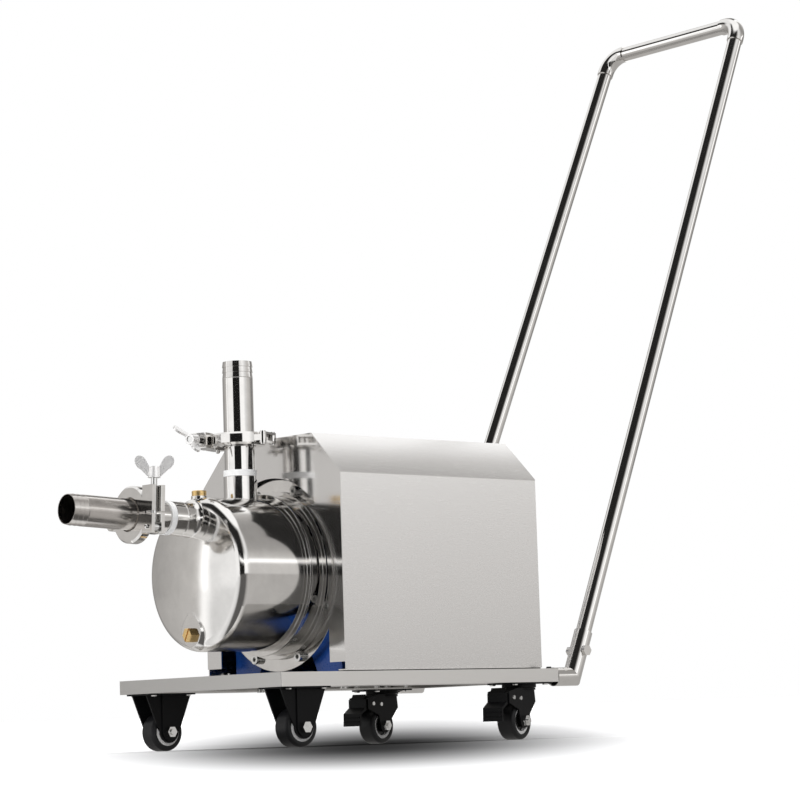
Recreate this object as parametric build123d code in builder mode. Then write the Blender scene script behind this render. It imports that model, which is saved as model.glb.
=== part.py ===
from build123d import *
import os
from math import asin, cos, radians, sin, sqrt, tan

os.makedirs("parts", exist_ok=True)

# Self-priming pump on a push cart. X runs along the cart from the pump inlet (-X) to the
# push handle (+X), Y across it, Z up. The origin is on the floor, in the middle of the
# whole object. Sizes are in millimetres and degrees.

# Driving sizes of the cart tray
deck_length = 480.0
deck_width = 340.0
deck_sheet = 2.0
lip_height = 18.0
side_flange = 62.0
end_flange = 14.0
tray_corner = 1.5

# Casters
wheel_d = 50.0
wheel_width = 26.0
tread_depth = 6.5
hub_ring = 5.0
hub_web = 16.0
hub_boss_d = 17.0
caster_height = 75.5
plate_length = 76.0
swivel_plate_length = 69.0
plate_width = 59.0
plate_thick = 2.0
plate_corner = 7.0
plate_pitch_x = 56.0
plate_pitch_y = 43.0
plate_bolt_d = 5.0
plate_nut_af = 8.0
plate_head_d = 9.0
plate_head = 1.5
front_caster_inset = 46.0
rear_caster_inset = 46.5
caster_side_inset = 30.0
cheek_thick = 2.5
cheek_side_gap = 1.2
axle_d = 8.0
axle_head_af = 13.0
axle_head = 5.3
axle_end = 2.5
cheek_top = 72.0
cheek_waist = 38.0
cheek_waist_z = 32.0
cheek_foot_d = 29.0
rib_width = 24.0
rib_rise = 1.8
race_d = 46.0
race_height = 4.6
king_pin_d = 10.0
swivel_trail = 16.0
left_heading = 15.5
right_heading = 11.0
fork_crown = 3.0
fork_end_d = 20.0
fork_tail = 53.7
fork_tail_z = 49.0
pedal_sheet = 2.0
pedal_body_width = 30.0
pedal_tab_width = 22.0
pedal_tab_z = 69.0
pedal_tread = 12.5
pedal_drop_z = 25.0
pedal_ridge = 1.1
pedal_pin_d = 4.0
rivet_head_d = 5.9
rivet_head = 1.2

# Push handle
handle_tube_d = 21.2
handle_wall = 1.5
socket_d = 25.0
socket_rise = 66.0
socket_axis_drop = 11.2
handle_side_inset = 11.8
handle_lean = 22.9
handle_foot_behind = 36.0
handle_top_behind = 465.0
handle_top_z = 1054.0
elbow_d = 24.4
elbow_bend = 28.0
elbow_leg = 33.0
cross_bolt_d = 6.0
cross_bolt_rise = 38.0
tongue_width = 12.0
tongue_height = 14.0
tongue_length = 12.0
tongue_bolt_d = 5.0
tongue_cap_d = 8.4

# Pump
shaft_height = 131.0
body_d = 199.0
body_wall = 2.5
knuckle = 14.0
dish_radius = 420.0
rim_x = 12.0
step_x = 105.0
step_ring_d = 212.0
step_ring_width = 3.5
rear_body_d = 207.0
lip_ring_d = 220.4
lip_ring_width = 4.0
flange_d = 252.0
flange_thick = 12.0
raised_face_d = 219.0
raised_face = 4.0
flange_x = 132.0
bolt_circle_d = 234.0
flange_bolts = 8
flange_bolt_d = 8.0
flange_head_d = 13.0
flange_head = 7.0
back_plate_thick = 6.0
bracket_thick = 20.0
bracket_foot_width = 220.0
bracket_arch_width = 124.0
stud_lug_height = 26.0
stud_depth = 20.0
stud_below = 2.0
shaft_d = 28.0
seal_d = 25.0
impeller_seat_d = 20.0
impeller_d = 136.0
impeller_width = 20.0
impeller_hub = 26.0
impeller_vanes = 6
vane_thick = 4.0
volute_d = 164.0
volute_depth = 44.0
volute_wall = 3.0
eye_d = 48.0

# Suction and discharge lines
pipe_d = 40.0
pipe_wall = 1.5
stub_d = 44.0
outlet_stub = 29.0
inlet_stub = 29.0
tape_d = 43.4
tape_width = 8.0
stub_socket = 12.0
ferrule_d = 50.5
ferrule_rim = 2.85
ferrule_slope = 20.0
gasket_thick = 2.0
tail_length = 103.0
barb_pitch = 7.1
barb_depth = 0.9
barbs = 3
outlet_x = 78.0
outlet_reach = 40.0
inlet_rise = 70.0
inlet_tilt = 2.7
inlet_reach = 45.5
collar_base_d = 53.0
collar_depth = 8.0
collar_joint_x = 12.0
seam_at = 11.0
seam_width = 2.4
seam_rise = 0.35
clamp_d = 73.3
clamp_width = 16.0
clamp_split = 3.0
clamp_play = 0.4
lug_reach = 52.0
lug_width = 20.0
upper_lug = 34.5
lower_lug = 26.5
lug_slot = 10.4
swing_bolt_d = 8.0
swing_bolt_out = 42.0
swing_pin_drop = 18.5
swing_eye_d = 15.0
swing_eye_width = 9.6
swing_pin_d = 6.0
swing_pin_stand = 3.5
hinge_out = 42.0
hinge_pitch = 26.0
hinge_lug = 8.0
link_thick = 3.0
hinge_pin_d = 5.0
nut_gap = 9.5
nut_height = 14.0
nut_hub_d = 16.0
wing_span = 49.0
wing_rise = 28.0
wing_thick = 3.0
outlet_clamp_turn = 113.5
inlet_wing_turn = -48.0
outlet_wing_turn = 45.0

# Plugs
plug_head_d = 19.0
plug_head = 7.0
plug_thread_d = 13.0
plug_slot = 2.2
fill_plug_x = 10.0
fill_boss = 14.0
drain_drop = 78.0
drain_boss_d = 40.0
drain_boss_lift = 4.5
drain_boss_peak = 33.0
drain_boss_rise = 4.5

# Motor
motor_body_d = 178.0
motor_fin_d = 205.0
motor_fins = 32
motor_frame_length = 200.0
motor_centre_height = 100.0
foot_spread = 160.0
foot_pitch = 140.0
foot_width = 46.0
foot_thick = 12.0
foot_bolt_d = 10.0
foot_nut_af = 16.0
foot_nut = 8.4
stator_d = 155.0
rotor_d = 92.0
air_gap = 0.5
bearing_d = 62.0
bearing_width = 16.0
bearing_seat_d = 30.0
fan_bore_d = 24.0
fan_d = 150.0
cowl_d = 206.0
cowl_sheet = 1.5
cowl_length = 66.0
cowl_bevel = 8.0
cowl_slots = 16
cowl_slot_ring = 48.0
cowl_slot_length = 46.0
cowl_slot_width = 7.0
box_length = 96.0
box_width = 88.0
box_height = 34.0
box_wall = 4.0
box_corner = 8.0
lid_height = 8.0
gland_d = 20.0
gland_bore_d = 12.0
gland_rise = 16.0

# Motor cover
cover_x = 127.2
cover_length = 347.8
cover_side_margin = 27.0
cover_width = deck_width - 2 * cover_side_margin
cover_shoulder = 255.0
cover_height = 311.0
cover_chamfer = 56.0
cover_sheet = 1.5
cover_return = 15.0
cover_gap = 2.0
front_leg_width = 30.0
front_leg_lift = 13.0
cutout_d = 228.0
window_d = 255.0
window_angle = 46.0

# Running and seating clearances
running_fit = 0.06
loose_fit = 0.3
hole_play = 0.3
press_gap = 0.02

# Stations worked out from the sizes above
z_lip = caster_height
z_deck = z_lip + lip_height
z_axis = z_deck + shaft_height
wheel_r = wheel_d / 2
inlet_clamp = inlet_stub + tape_width + inlet_reach
outlet_clamp = outlet_stub + tape_width + outlet_reach
tilt = radians(inlet_tilt)
head_angle = asin((body_d / 2 - knuckle) / (dish_radius - knuckle))
dish_apex = rim_x - (knuckle - dish_radius) * cos(head_angle) - dish_radius
front_reach = collar_joint_x + (inlet_clamp + tail_length) * cos(tilt) + pipe_d / 2 * sin(tilt)
rear_reach = deck_length + handle_top_behind + elbow_d / 2
x_front = (front_reach - rear_reach) / 2
x_mid = x_front + deck_length / 2
x_rear = x_front + deck_length
caster_y = deck_width / 2 - caster_side_inset
handle_half_foot = deck_width / 2 - handle_side_inset
handle_half_top = handle_half_foot - handle_lean
fork_gap = wheel_width + 2 * cheek_side_gap
cheek_out = fork_gap / 2 + cheek_thick
left_right = (("left", -1), ("right", 1))

floor = Plane.XY
section = Plane(origin=(x_front, 0, z_axis), x_dir=(1, 0, 0), z_dir=(0, -1, 0))
pump_axis = Axis((x_front, 0, z_axis), (1, 0, 0))


def save(piece, label):
    """Label a finished piece and write it as its own file."""
    piece.part.label = label
    export_step(piece.part, f"parts/{label}.step")


def save_group(pieces, label):
    """Write a set of separate solids that share one name as one file."""
    solids = [solid for piece in pieces for solid in piece.part.solids()]
    group = Compound(solids, label=label)
    export_step(group, f"parts/{label}.step")


def cross_plane(x, z=z_axis, y=0.0):
    """Plane across the cart at a distance behind the tray's front edge, Y to the right."""
    return Plane(origin=(x_front + x, y, z), x_dir=(0, 1, 0), z_dir=(1, 0, 0))


def side_plane(x, y, z):
    """Upright plane along the cart, facing the left side, X to the right and Z up."""
    return Plane(origin=(x, y, z), x_dir=(1, 0, 0), z_dir=(0, -1, 0))


def axial(line):
    """Plane through a line's axis, with radius to the right and distance along it up."""
    return Plane(origin=line.origin, x_dir=line.x_dir, z_dir=-line.y_dir)


def hexagon(width_across_flats):
    """Hexagon in the current sketch, by its width across flats."""
    RegularPolygon(width_across_flats / 2, 6, major_radius=False)


# Tray of the cart, one folded sheet with flanges turned in under it
caster_spots = [
    (x_front + front_caster_inset, caster_y),
    (x_front + front_caster_inset, -caster_y),
    (x_rear - rear_caster_inset, caster_y),
    (x_rear - rear_caster_inset, -caster_y),
]
cover_mid_x = x_front + cover_x + cover_length / 2
cover_screw_pitch = cover_length / 2 - 30.0
cover_screw_y = cover_width / 2 - cover_return / 2 - cover_sheet / 2
cover_screw_d = 5.0
back_x = flange_x + flange_thick
bracket_x = back_x + back_plate_thick
motor_front = bracket_x + bracket_thick
volute_x = back_x - volute_depth
impeller_x = volute_x + volute_wall + 1.0
foot_mid = motor_front + motor_frame_length / 2
bracket_bolt_y = (bracket_foot_width + bracket_arch_width) / 4
bracket_bolt_x = motor_front + 1.5
stud_lug_end = bracket_bolt_x + 9.0
tongue_bolt_x = x_rear - tongue_length + 5.0

with BuildPart() as deck_tray:
    with BuildSketch(floor.offset(z_lip)):
        with Locations((x_mid, 0)):
            RectangleRounded(deck_length, deck_width, tray_corner)
    extrude(amount=lip_height)
    with BuildSketch(floor.offset(z_lip + deck_sheet)):
        with Locations((x_mid, 0)):
            Rectangle(deck_length - 2 * deck_sheet, deck_width - 2 * deck_sheet)
    extrude(amount=lip_height - 2 * deck_sheet, mode=Mode.SUBTRACT)
    with BuildSketch(floor.offset(z_lip)):
        with Locations((x_mid, 0)):
            Rectangle(deck_length - 2 * end_flange, deck_width - 2 * side_flange)
        with Locations(*caster_spots):
            with GridLocations(plate_pitch_x, plate_pitch_y, 2, 2):
                Circle(plate_bolt_d / 2 + hole_play)
    extrude(amount=deck_sheet, mode=Mode.SUBTRACT)
    with BuildSketch(floor.offset(z_deck)):
        with Locations((x_front + foot_mid, 0)):
            with GridLocations(foot_pitch, foot_spread, 2, 2):
                Circle(foot_bolt_d / 2 + hole_play)
        with Locations((x_front + bracket_bolt_x, 0)):
            with GridLocations(1, 2 * bracket_bolt_y, 1, 2):
                Circle(foot_bolt_d / 2 + hole_play)
        with Locations((cover_mid_x, 0)):
            with GridLocations(cover_screw_pitch, 2 * cover_screw_y, 3, 2):
                Circle(cover_screw_d / 2 + hole_play)
        with Locations((tongue_bolt_x, 0)):
            with GridLocations(1, 2 * handle_half_foot, 1, 2):
                Circle(tongue_bolt_d / 2 + hole_play)
    extrude(amount=-deck_sheet, mode=Mode.SUBTRACT)
    with BuildSketch(floor.offset(z_lip)):
        with Locations((tongue_bolt_x, 0)):
            with GridLocations(1, 2 * handle_half_foot, 1, 2):
                Circle(tongue_bolt_d / 2 + hole_play)
    extrude(amount=deck_sheet, mode=Mode.SUBTRACT)
    with BuildSketch(Plane.YZ.offset(x_rear)):
        with Locations((0, z_lip + deck_sheet + tongue_height / 2)):
            with GridLocations(2 * handle_half_foot, 1, 2, 1):
                Rectangle(tongue_width + 2 * hole_play, tongue_height)
    extrude(amount=-deck_sheet, mode=Mode.SUBTRACT)
save(deck_tray, "deck_tray")


# Casters
def plate_sketch(length):
    """Top plate of a caster with its four bolt holes, in the current sketch."""
    RectangleRounded(length, plate_width, plate_corner)
    with GridLocations(plate_pitch_x, plate_pitch_y, 2, 2):
        Circle(plate_bolt_d / 2 + hole_play, mode=Mode.SUBTRACT)


def fixed_bracket(x, y):
    """Pressed bracket of a fixed caster, with a raised rib down each cheek."""
    z_plate = z_lip - plate_thick
    with BuildPart() as bracket:
        with BuildSketch(Plane((x, y, z_plate))):
            plate_sketch(plate_length)
        extrude(amount=plate_thick)
        for side in (-1, 1):
            cheek = Plane((x, y + side * fork_gap / 2, 0), x_dir=(1, 0, 0), z_dir=(0, side, 0))
            with BuildSketch(cheek):
                Polygon(
                    (cheek_top / 2, -side * z_plate),
                    (-cheek_top / 2, -side * z_plate),
                    (-cheek_waist / 2, -side * cheek_waist_z),
                    (-cheek_foot_d / 2, -side * wheel_r),
                    (cheek_foot_d / 2, -side * wheel_r),
                    (cheek_waist / 2, -side * cheek_waist_z),
                    align=None,
                )
                with Locations((0, -side * wheel_r)):
                    Circle(cheek_foot_d / 2)
            extrude(amount=cheek_thick)
            with BuildSketch(cheek):
                with Locations((0, -side * wheel_r)):
                    Circle(rib_width / 2)
                with Locations((0, -side * (wheel_r + z_plate) / 2)):
                    Rectangle(rib_width, z_plate - wheel_r)
            extrude(amount=cheek_thick + rib_rise)
        with BuildSketch(side_plane(x, y + cheek_out + 2 * rib_rise, wheel_r)):
            Circle(axle_d / 2 + hole_play)
        extrude(amount=2 * (cheek_out + 2 * rib_rise), mode=Mode.SUBTRACT)
    return bracket


def wheel_plane(x, y, heading):
    """Plane whose Z is a wheel's axle, at the wheel's middle, turned about the vertical."""
    a = radians(heading)
    return Plane(origin=(x, y, wheel_r), x_dir=(cos(a), sin(a), 0), z_dir=(sin(a), -cos(a), 0))


def wheel(tyre_label, hub_label, middle):
    """Soft tread on a moulded hub, both turned about the axle."""
    rim_r = wheel_r - tread_depth
    with BuildPart() as tyre:
        with BuildSketch(axial(middle)):
            with Locations(((rim_r + wheel_r) / 2 + press_gap / 2, 0)):
                Rectangle(tread_depth - press_gap, wheel_width)
            fillet(vertices().group_by(Axis.X)[-1], 4.5)
        revolve(axis=Axis(middle.origin, middle.z_dir))
    save(tyre, tyre_label)
    with BuildPart() as hub:
        with BuildSketch(axial(middle)):
            with Locations((rim_r - hub_ring / 2, 0)):
                Rectangle(hub_ring, wheel_width - 1.0)
            with Locations((rim_r / 2, 0)):
                Rectangle(rim_r - hub_ring / 2, hub_web)
            with Locations((hub_boss_d / 4, 0)):
                Rectangle(hub_boss_d / 2, wheel_width + cheek_side_gap)
            with Locations((axle_d / 4, 0)):
                Rectangle(axle_d / 2 + 2 * running_fit, 2 * wheel_width, mode=Mode.SUBTRACT)
        revolve(axis=Axis(middle.origin, middle.z_dir))
    save(hub, hub_label)


def axle_solids(middle, outer, head_way):
    """Hex bolt and nut of one axle, in the current part, with the head on the side asked for."""
    for way in (-1, 1):
        with BuildSketch(middle.offset(way * outer), mode=Mode.PRIVATE) as head:
            hexagon(axle_head_af)
        extrude(head.sketch, amount=way * axle_head)
    with BuildSketch(middle, mode=Mode.PRIVATE) as shank:
        Circle(axle_d / 2)
    extrude(shank.sketch, amount=head_way * (outer + axle_head / 2))
    extrude(shank.sketch, amount=-head_way * (outer + axle_head + axle_end))


front_wheels = []
front_brackets = []
for hand, side in left_right:
    spot_x = x_front + front_caster_inset
    spot_y = side * caster_y
    front_brackets.append(fixed_bracket(spot_x, spot_y))
    axle_mid = wheel_plane(spot_x, spot_y, 0)
    front_wheels.append(axle_mid)
    wheel(f"{hand}_front_tyre", f"{hand}_front_hub", axle_mid)

save_group(front_brackets, "front_brackets")

with BuildPart() as front_axle_bolts:
    for axle_mid, head_way in zip(front_wheels, (1, -1)):
        axle_solids(axle_mid, cheek_out + rib_rise, head_way)

# Heights of the swivel casters' bearing, from the plate down
z_race = z_lip - plate_thick - race_height
z_crown = z_race - loose_fit - fork_crown
z_pin_head = z_crown - loose_fit
pedal_pivot = (-swivel_trail - 8.4, z_crown - 10.6)
tail_rivet = (-swivel_trail - 26.0, z_crown - 9.6)
pedal_back = -fork_tail - pedal_sheet - 1.8


def swivel_caster(hand, side, heading):
    """Swivel caster with its raceway, fork, wheel, axle and brake pedal."""
    x = x_rear - rear_caster_inset
    y = side * caster_y
    a = radians(heading)
    ahead = Vector(cos(a), sin(a), 0)
    across = Vector(sin(a), -cos(a), 0)
    pivot = Vector(x, y, 0)
    upright = Axis((x, y, 0), (0, 0, 1))
    with BuildPart() as swivel_plate:
        with BuildSketch(Plane((x, y, z_lip - plate_thick))):
            plate_sketch(swivel_plate_length)
        extrude(amount=plate_thick)
        with BuildSketch(Plane((x, y, z_race))):
            Circle(race_d / 2)
        extrude(amount=race_height)
        with BuildSketch(Plane((x, y, z_pin_head))):
            Circle(king_pin_d / 2)
        extrude(amount=z_race - z_pin_head)
        with BuildSketch(Plane((x, y, z_pin_head))):
            Circle(king_pin_d / 2 + 3.0)
        extrude(amount=-2.5)
        round_edges = swivel_plate.edges().filter_by(GeomType.CIRCLE)
        chamfer(round_edges.group_by(SortBy.RADIUS)[-1].sort_by(Axis.Z)[0], 0.5)

    crown_plane = Plane(origin=(x, y, z_crown), x_dir=tuple(ahead), z_dir=(0, 0, 1))
    with BuildPart() as fork:
        with BuildSketch(crown_plane):
            Circle(race_d / 2 - 1.0)
            with Locations((-8.0, 0)):
                Rectangle(race_d - 4.0, 2 * cheek_out)
            Circle(king_pin_d / 2 + running_fit, mode=Mode.SUBTRACT)
        extrude(amount=fork_crown)
        for face in (-1, 1):
            origin = pivot + across * (face * fork_gap / 2)
            cheek = Plane(origin=tuple(origin), x_dir=tuple(ahead), z_dir=tuple(across * face))
            up = 1 if cheek.y_dir.Z > 0 else -1
            with BuildSketch(cheek):
                Polygon(
                    (race_d / 2 - 11.5, up * (z_crown + fork_crown)),
                    (-race_d / 2 - 6.0, up * (z_crown + fork_crown)),
                    (-fork_tail, up * (z_crown - 1.6)),
                    (-fork_tail, up * fork_tail_z),
                    (-swivel_trail - 24.5, up * (fork_tail_z - 5.0)),
                    (-swivel_trail - 13.8, up * (fork_tail_z - 9.0)),
                    (-swivel_trail - fork_end_d / 2, up * wheel_r),
                    (-swivel_trail + fork_end_d / 2, up * wheel_r),
                    (-1.0, up * (wheel_r + 9.5)),
                    (race_d / 2 - 9.0, up * (fork_tail_z + 1.0)),
                    align=None,
                )
                with Locations((-swivel_trail, up * wheel_r)):
                    Circle(fork_end_d / 2)
                    Circle(axle_d / 2 + hole_play, mode=Mode.SUBTRACT)
                with Locations((pedal_pivot[0], up * pedal_pivot[1]), (tail_rivet[0], up * tail_rivet[1])):
                    Circle(pedal_pin_d / 2 + press_gap, mode=Mode.SUBTRACT)
            extrude(amount=cheek_thick)
    save(fork, f"{hand}_rear_fork")

    hub_point = pivot - ahead * swivel_trail
    middle = wheel_plane(hub_point.X, hub_point.Y, heading)
    wheel(f"{hand}_rear_tyre", f"{hand}_rear_hub", middle)
    with BuildPart() as axle_set:
        axle_solids(middle, cheek_out, -1)

    pin_point = pivot + ahead * pedal_pivot[0] + Vector(0, 0, pedal_pivot[1])
    pin_plane = Plane(origin=tuple(pin_point), x_dir=tuple(ahead), z_dir=tuple(across))
    side_view = Plane(origin=tuple(pivot), x_dir=tuple(ahead), z_dir=tuple(across))
    up = 1 if side_view.y_dir.Z > 0 else -1
    arm_out = fork_gap / 2 - loose_fit
    tread_end = pedal_back - pedal_tread
    with BuildPart() as pedal:
        for face in (-1, 1):
            with BuildSketch(side_view.offset(face * arm_out)):
                Polygon(
                    (pedal_pivot[0], up * (pedal_pivot[1] + 4.5)),
                    (pedal_back + 1.0, up * (fork_tail_z + 13.0)),
                    (pedal_back + 1.0, up * fork_tail_z),
                    (pedal_pivot[0], up * (pedal_pivot[1] - 4.5)),
                    align=None,
                )
                with Locations((pedal_pivot[0], up * pedal_pivot[1])):
                    Circle(4.5)
                    Circle(pedal_pin_d / 2 + running_fit, mode=Mode.SUBTRACT)
            extrude(amount=-face * pedal_sheet)
        with BuildSketch(side_view):
            Polygon(
                (pedal_back + pedal_sheet, up * (fork_tail_z + 13.0)),
                (pedal_back, up * (fork_tail_z + 13.0)),
                (pedal_back, up * (fork_tail_z + 1.5)),
                (tread_end, up * (fork_tail_z - 6.5)),
                (tread_end - 0.5, up * pedal_drop_z),
                (tread_end + pedal_sheet, up * pedal_drop_z),
                (tread_end + pedal_sheet + 0.5, up * (fork_tail_z - 8.2)),
                (pedal_back + pedal_sheet, up * (fork_tail_z - 1.5)),
                align=None,
            )
        extrude(amount=pedal_body_width / 2, both=True)
        with BuildSketch(side_view):
            Polygon(
                (pedal_back + pedal_sheet, up * (fork_tail_z + 12.0)),
                (pedal_back, up * (fork_tail_z + 12.0)),
                (pedal_back + 4.5, up * pedal_tab_z),
                (pedal_back + pedal_sheet + 4.5, up * pedal_tab_z),
                align=None,
            )
        extrude(amount=pedal_tab_width / 2, both=True)
        with BuildSketch(side_view):
            for ridge_z in (pedal_drop_z + 6.0, pedal_drop_z + 12.0):
                with Locations((tread_end - 0.3, up * ridge_z)):
                    Circle(pedal_ridge)
        extrude(amount=pedal_body_width / 2 - 2.0, both=True)
    save(pedal, f"{hand}_brake_pedal")
    with BuildPart() as pedal_pin:
        with BuildSketch(pin_plane):
            Circle(pedal_pin_d / 2)
        extrude(amount=cheek_out, both=True)
        for face in (-1, 1):
            with BuildSketch(pin_plane.offset(face * cheek_out)):
                Circle(rivet_head_d / 2)
            extrude(amount=face * rivet_head, taper=15)
    with BuildPart() as tail_rivets:
        for face in (-1, 1):
            with BuildSketch(side_view.offset(face * fork_gap / 2)):
                with Locations((tail_rivet[0], up * tail_rivet[1])):
                    Circle(pedal_pin_d / 2)
            extrude(amount=face * cheek_thick)
            with BuildSketch(side_view.offset(face * cheek_out)):
                with Locations((tail_rivet[0], up * tail_rivet[1])):
                    Circle(rivet_head_d / 2)
            extrude(amount=face * rivet_head, taper=15)
    save_group((axle_set, pedal_pin, tail_rivets), f"{hand}_fork_pins")
    return middle, pin_plane, upright, swivel_plate


swivels = {}
for hand, side in left_right:
    swivels[hand] = swivel_caster(hand, side, left_heading if side < 0 else right_heading)
save_group([swivels[hand][3] for hand in ("left", "right")], "swivel_plates")

bolt_spots = [
    (cx + i * plate_pitch_x / 2, cy + j * plate_pitch_y / 2)
    for cx, cy in caster_spots
    for i in (-1, 1)
    for j in (-1, 1)
]
with BuildPart() as caster_bolts:
    with BuildSketch(floor.offset(z_lip - plate_thick)):
        with Locations(*bolt_spots):
            Circle(plate_head_d / 2)
    extrude(amount=-plate_head, taper=30)
    with BuildSketch(floor.offset(z_lip - plate_thick)):
        with Locations(*bolt_spots):
            Circle(plate_bolt_d / 2)
    extrude(amount=plate_thick + deck_sheet + 6.0)

with BuildPart() as caster_nuts:
    with BuildSketch(floor.offset(z_lip + deck_sheet)):
        with Locations(*bolt_spots):
            hexagon(plate_nut_af)
            Circle(plate_bolt_d / 2 + press_gap, mode=Mode.SUBTRACT)
    extrude(amount=5.0)
save_group((front_axle_bolts, caster_bolts, caster_nuts), "caster_fixings")


# Push handle, one tube frame with separate bends, bolted into two mitred sockets
def handle_points(side):
    """Foot and top corner of one upright's centre line."""
    foot = Vector(x_rear + handle_foot_behind, side * handle_half_foot, z_deck - socket_axis_drop)
    top = Vector(x_rear + handle_top_behind, side * handle_half_top, handle_top_z)
    return foot, top


cap_bolts = []
cross_bolts = []
sockets = []
uprights = []
elbows = []
for hand, side in left_right:
    foot, top = handle_points(side)
    along = (top - foot).normalized()
    level_start = Vector(x_rear, foot.Y, foot.Z)
    collar = foot + along * socket_rise
    with BuildPart() as socket:
        with BuildLine() as route:
            Polyline(tuple(level_start), tuple(foot), tuple(collar))
        with BuildSketch(Plane(origin=tuple(level_start), z_dir=(1, 0, 0))):
            Circle(socket_d / 2)
            Circle(handle_tube_d / 2 + 0.1, mode=Mode.SUBTRACT)
        sweep(path=route.wires()[0], transition=Transition.RIGHT)
        with BuildSketch(Plane.YZ.offset(x_rear - tongue_length)):
            with Locations((foot.Y, z_lip + deck_sheet + tongue_height / 2)):
                Rectangle(tongue_width, tongue_height)
        extrude(amount=tongue_length + 8.0)
        with BuildSketch(floor.offset(z_lip)):
            with Locations((tongue_bolt_x, foot.Y)):
                Circle(tongue_bolt_d / 2 + hole_play)
        extrude(amount=lip_height, mode=Mode.SUBTRACT)
        bolt_point = foot + along * cross_bolt_rise
        bolt_plane = Plane(origin=tuple(bolt_point), x_dir=(1, 0, 0), z_dir=(0, side, 0))
        with BuildSketch(bolt_plane.offset(-socket_d)):
            Circle(cross_bolt_d / 2 + hole_play)
        extrude(amount=2 * socket_d, mode=Mode.SUBTRACT)
    sockets.append(socket)
    cap_bolts.append((tongue_bolt_x, foot.Y))
    cross_bolts.append(bolt_plane)

    tube_start = foot + along * (socket_d * 0.7)
    tube_end = top - along * (elbow_bend + 2.0)
    tube_length = (tube_end - tube_start).length
    with BuildPart() as upright:
        with BuildSketch(Plane(origin=tuple(tube_start), z_dir=tuple(along))):
            Circle(handle_tube_d / 2)
            Circle(handle_tube_d / 2 - handle_wall, mode=Mode.SUBTRACT)
        extrude(amount=tube_length)
        with BuildSketch(bolt_plane.offset(-socket_d)):
            Circle(cross_bolt_d / 2 + hole_play)
        extrude(amount=2 * socket_d, mode=Mode.SUBTRACT)
    uprights.append(upright)

    elbow_start = top - along * elbow_leg
    elbow_end = top + Vector(0, -side * elbow_leg, 0)
    with BuildPart() as elbow:
        with BuildLine() as bend:
            FilletPolyline(tuple(elbow_start), tuple(top), tuple(elbow_end), radius=elbow_bend)
        with BuildSketch(Plane(origin=tuple(elbow_start), z_dir=tuple(along))):
            Circle(elbow_d / 2)
            Circle(handle_tube_d / 2 + 0.1, mode=Mode.SUBTRACT)
        sweep(path=bend.wires()[0])
    elbows.append(elbow)
save_group(sockets, "handle_sockets")
save_group(uprights, "handle_uprights")
save_group(elbows, "handle_elbows")

with BuildPart() as cross_bar:
    bar_half = handle_half_top - elbow_bend - 2.0
    with BuildSketch(Plane(origin=(x_rear + handle_top_behind, -bar_half, handle_top_z), z_dir=(0, 1, 0))):
        Circle(handle_tube_d / 2)
        Circle(handle_tube_d / 2 - handle_wall, mode=Mode.SUBTRACT)
    extrude(amount=2 * bar_half)
save(cross_bar, "cross_bar")

head_seat = socket_d / 2 + 0.15
with BuildPart() as handle_bolts:
    for bolt_plane in cross_bolts:
        with BuildSketch(bolt_plane.offset(head_seat)):
            hexagon(13.0)
        extrude(amount=5.0)
        with BuildSketch(bolt_plane.offset(-head_seat - 9.0)):
            Circle(cross_bolt_d / 2)
        extrude(amount=2 * head_seat + 10.0)

with BuildPart() as handle_nuts:
    for bolt_plane in cross_bolts:
        with BuildSketch(bolt_plane.offset(-head_seat)):
            hexagon(11.0)
            Circle(cross_bolt_d / 2 + press_gap, mode=Mode.SUBTRACT)
        extrude(amount=-6.0)
save_group((handle_bolts, handle_nuts), "handle_fixings")

with BuildPart() as socket_fixings:
    with BuildSketch(floor.offset(z_lip - 1.0)):
        with Locations(*cap_bolts):
            Circle(tongue_bolt_d / 2)
    extrude(amount=lip_height + 2.0)
    with BuildSketch(floor.offset(z_deck)):
        with Locations(*cap_bolts):
            Circle(tongue_cap_d / 2)
    extrude(amount=2.6, taper=25)
    with BuildSketch(floor.offset(z_lip)):
        with Locations(*cap_bolts):
            Circle(tongue_cap_d / 2)
    extrude(amount=-2.6, taper=25)
save(socket_fixings, "socket_fixings")


# Pump casing
def head_profile(inset):
    """Edges of the casing's dished head and straight wall, moved in by the wall."""
    centre_x = dish_apex + dish_radius
    k = knuckle - inset
    r = body_d / 2 - knuckle
    dome = dish_radius - inset
    start = (centre_x - dome, 0)
    joint = (rim_x - k * cos(head_angle), r + k * sin(head_angle))
    mid = (centre_x - dome * cos(head_angle / 2), dome * sin(head_angle / 2))
    half_turn = (radians(90) + head_angle) / 2
    mid_knuckle = (rim_x - k * cos(half_turn), r + k * sin(half_turn))
    crest = (rim_x, r + k)
    return start, mid, joint, mid_knuckle, crest


# The inlet line leaves the head tilted up a little, the outlet line stands upright
inlet_line = Plane(
    origin=(x_front - collar_joint_x, 0, z_axis + inlet_rise),
    x_dir=(0, -1, 0),
    z_dir=(-cos(tilt), 0, sin(tilt)),
)
turn = radians(outlet_clamp_turn)
outlet_line = Plane(
    origin=(x_front + outlet_x, 0, z_axis + body_d / 2),
    x_dir=(cos(turn), sin(turn), 0),
    z_dir=(0, 0, 1),
)
drain_z = z_axis - drain_drop
drain_face_x = dish_apex + dish_radius - sqrt(dish_radius**2 - drain_drop**2) - drain_boss_rise
drain_plane = Plane(origin=(x_front + drain_face_x, 0, drain_z), x_dir=(0, 1, 0), z_dir=(-1, 0, 0))
fill_z = z_axis + body_d / 2 + 1.5
fill_plane = Plane((x_front + fill_plug_x, 0, fill_z))

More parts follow.
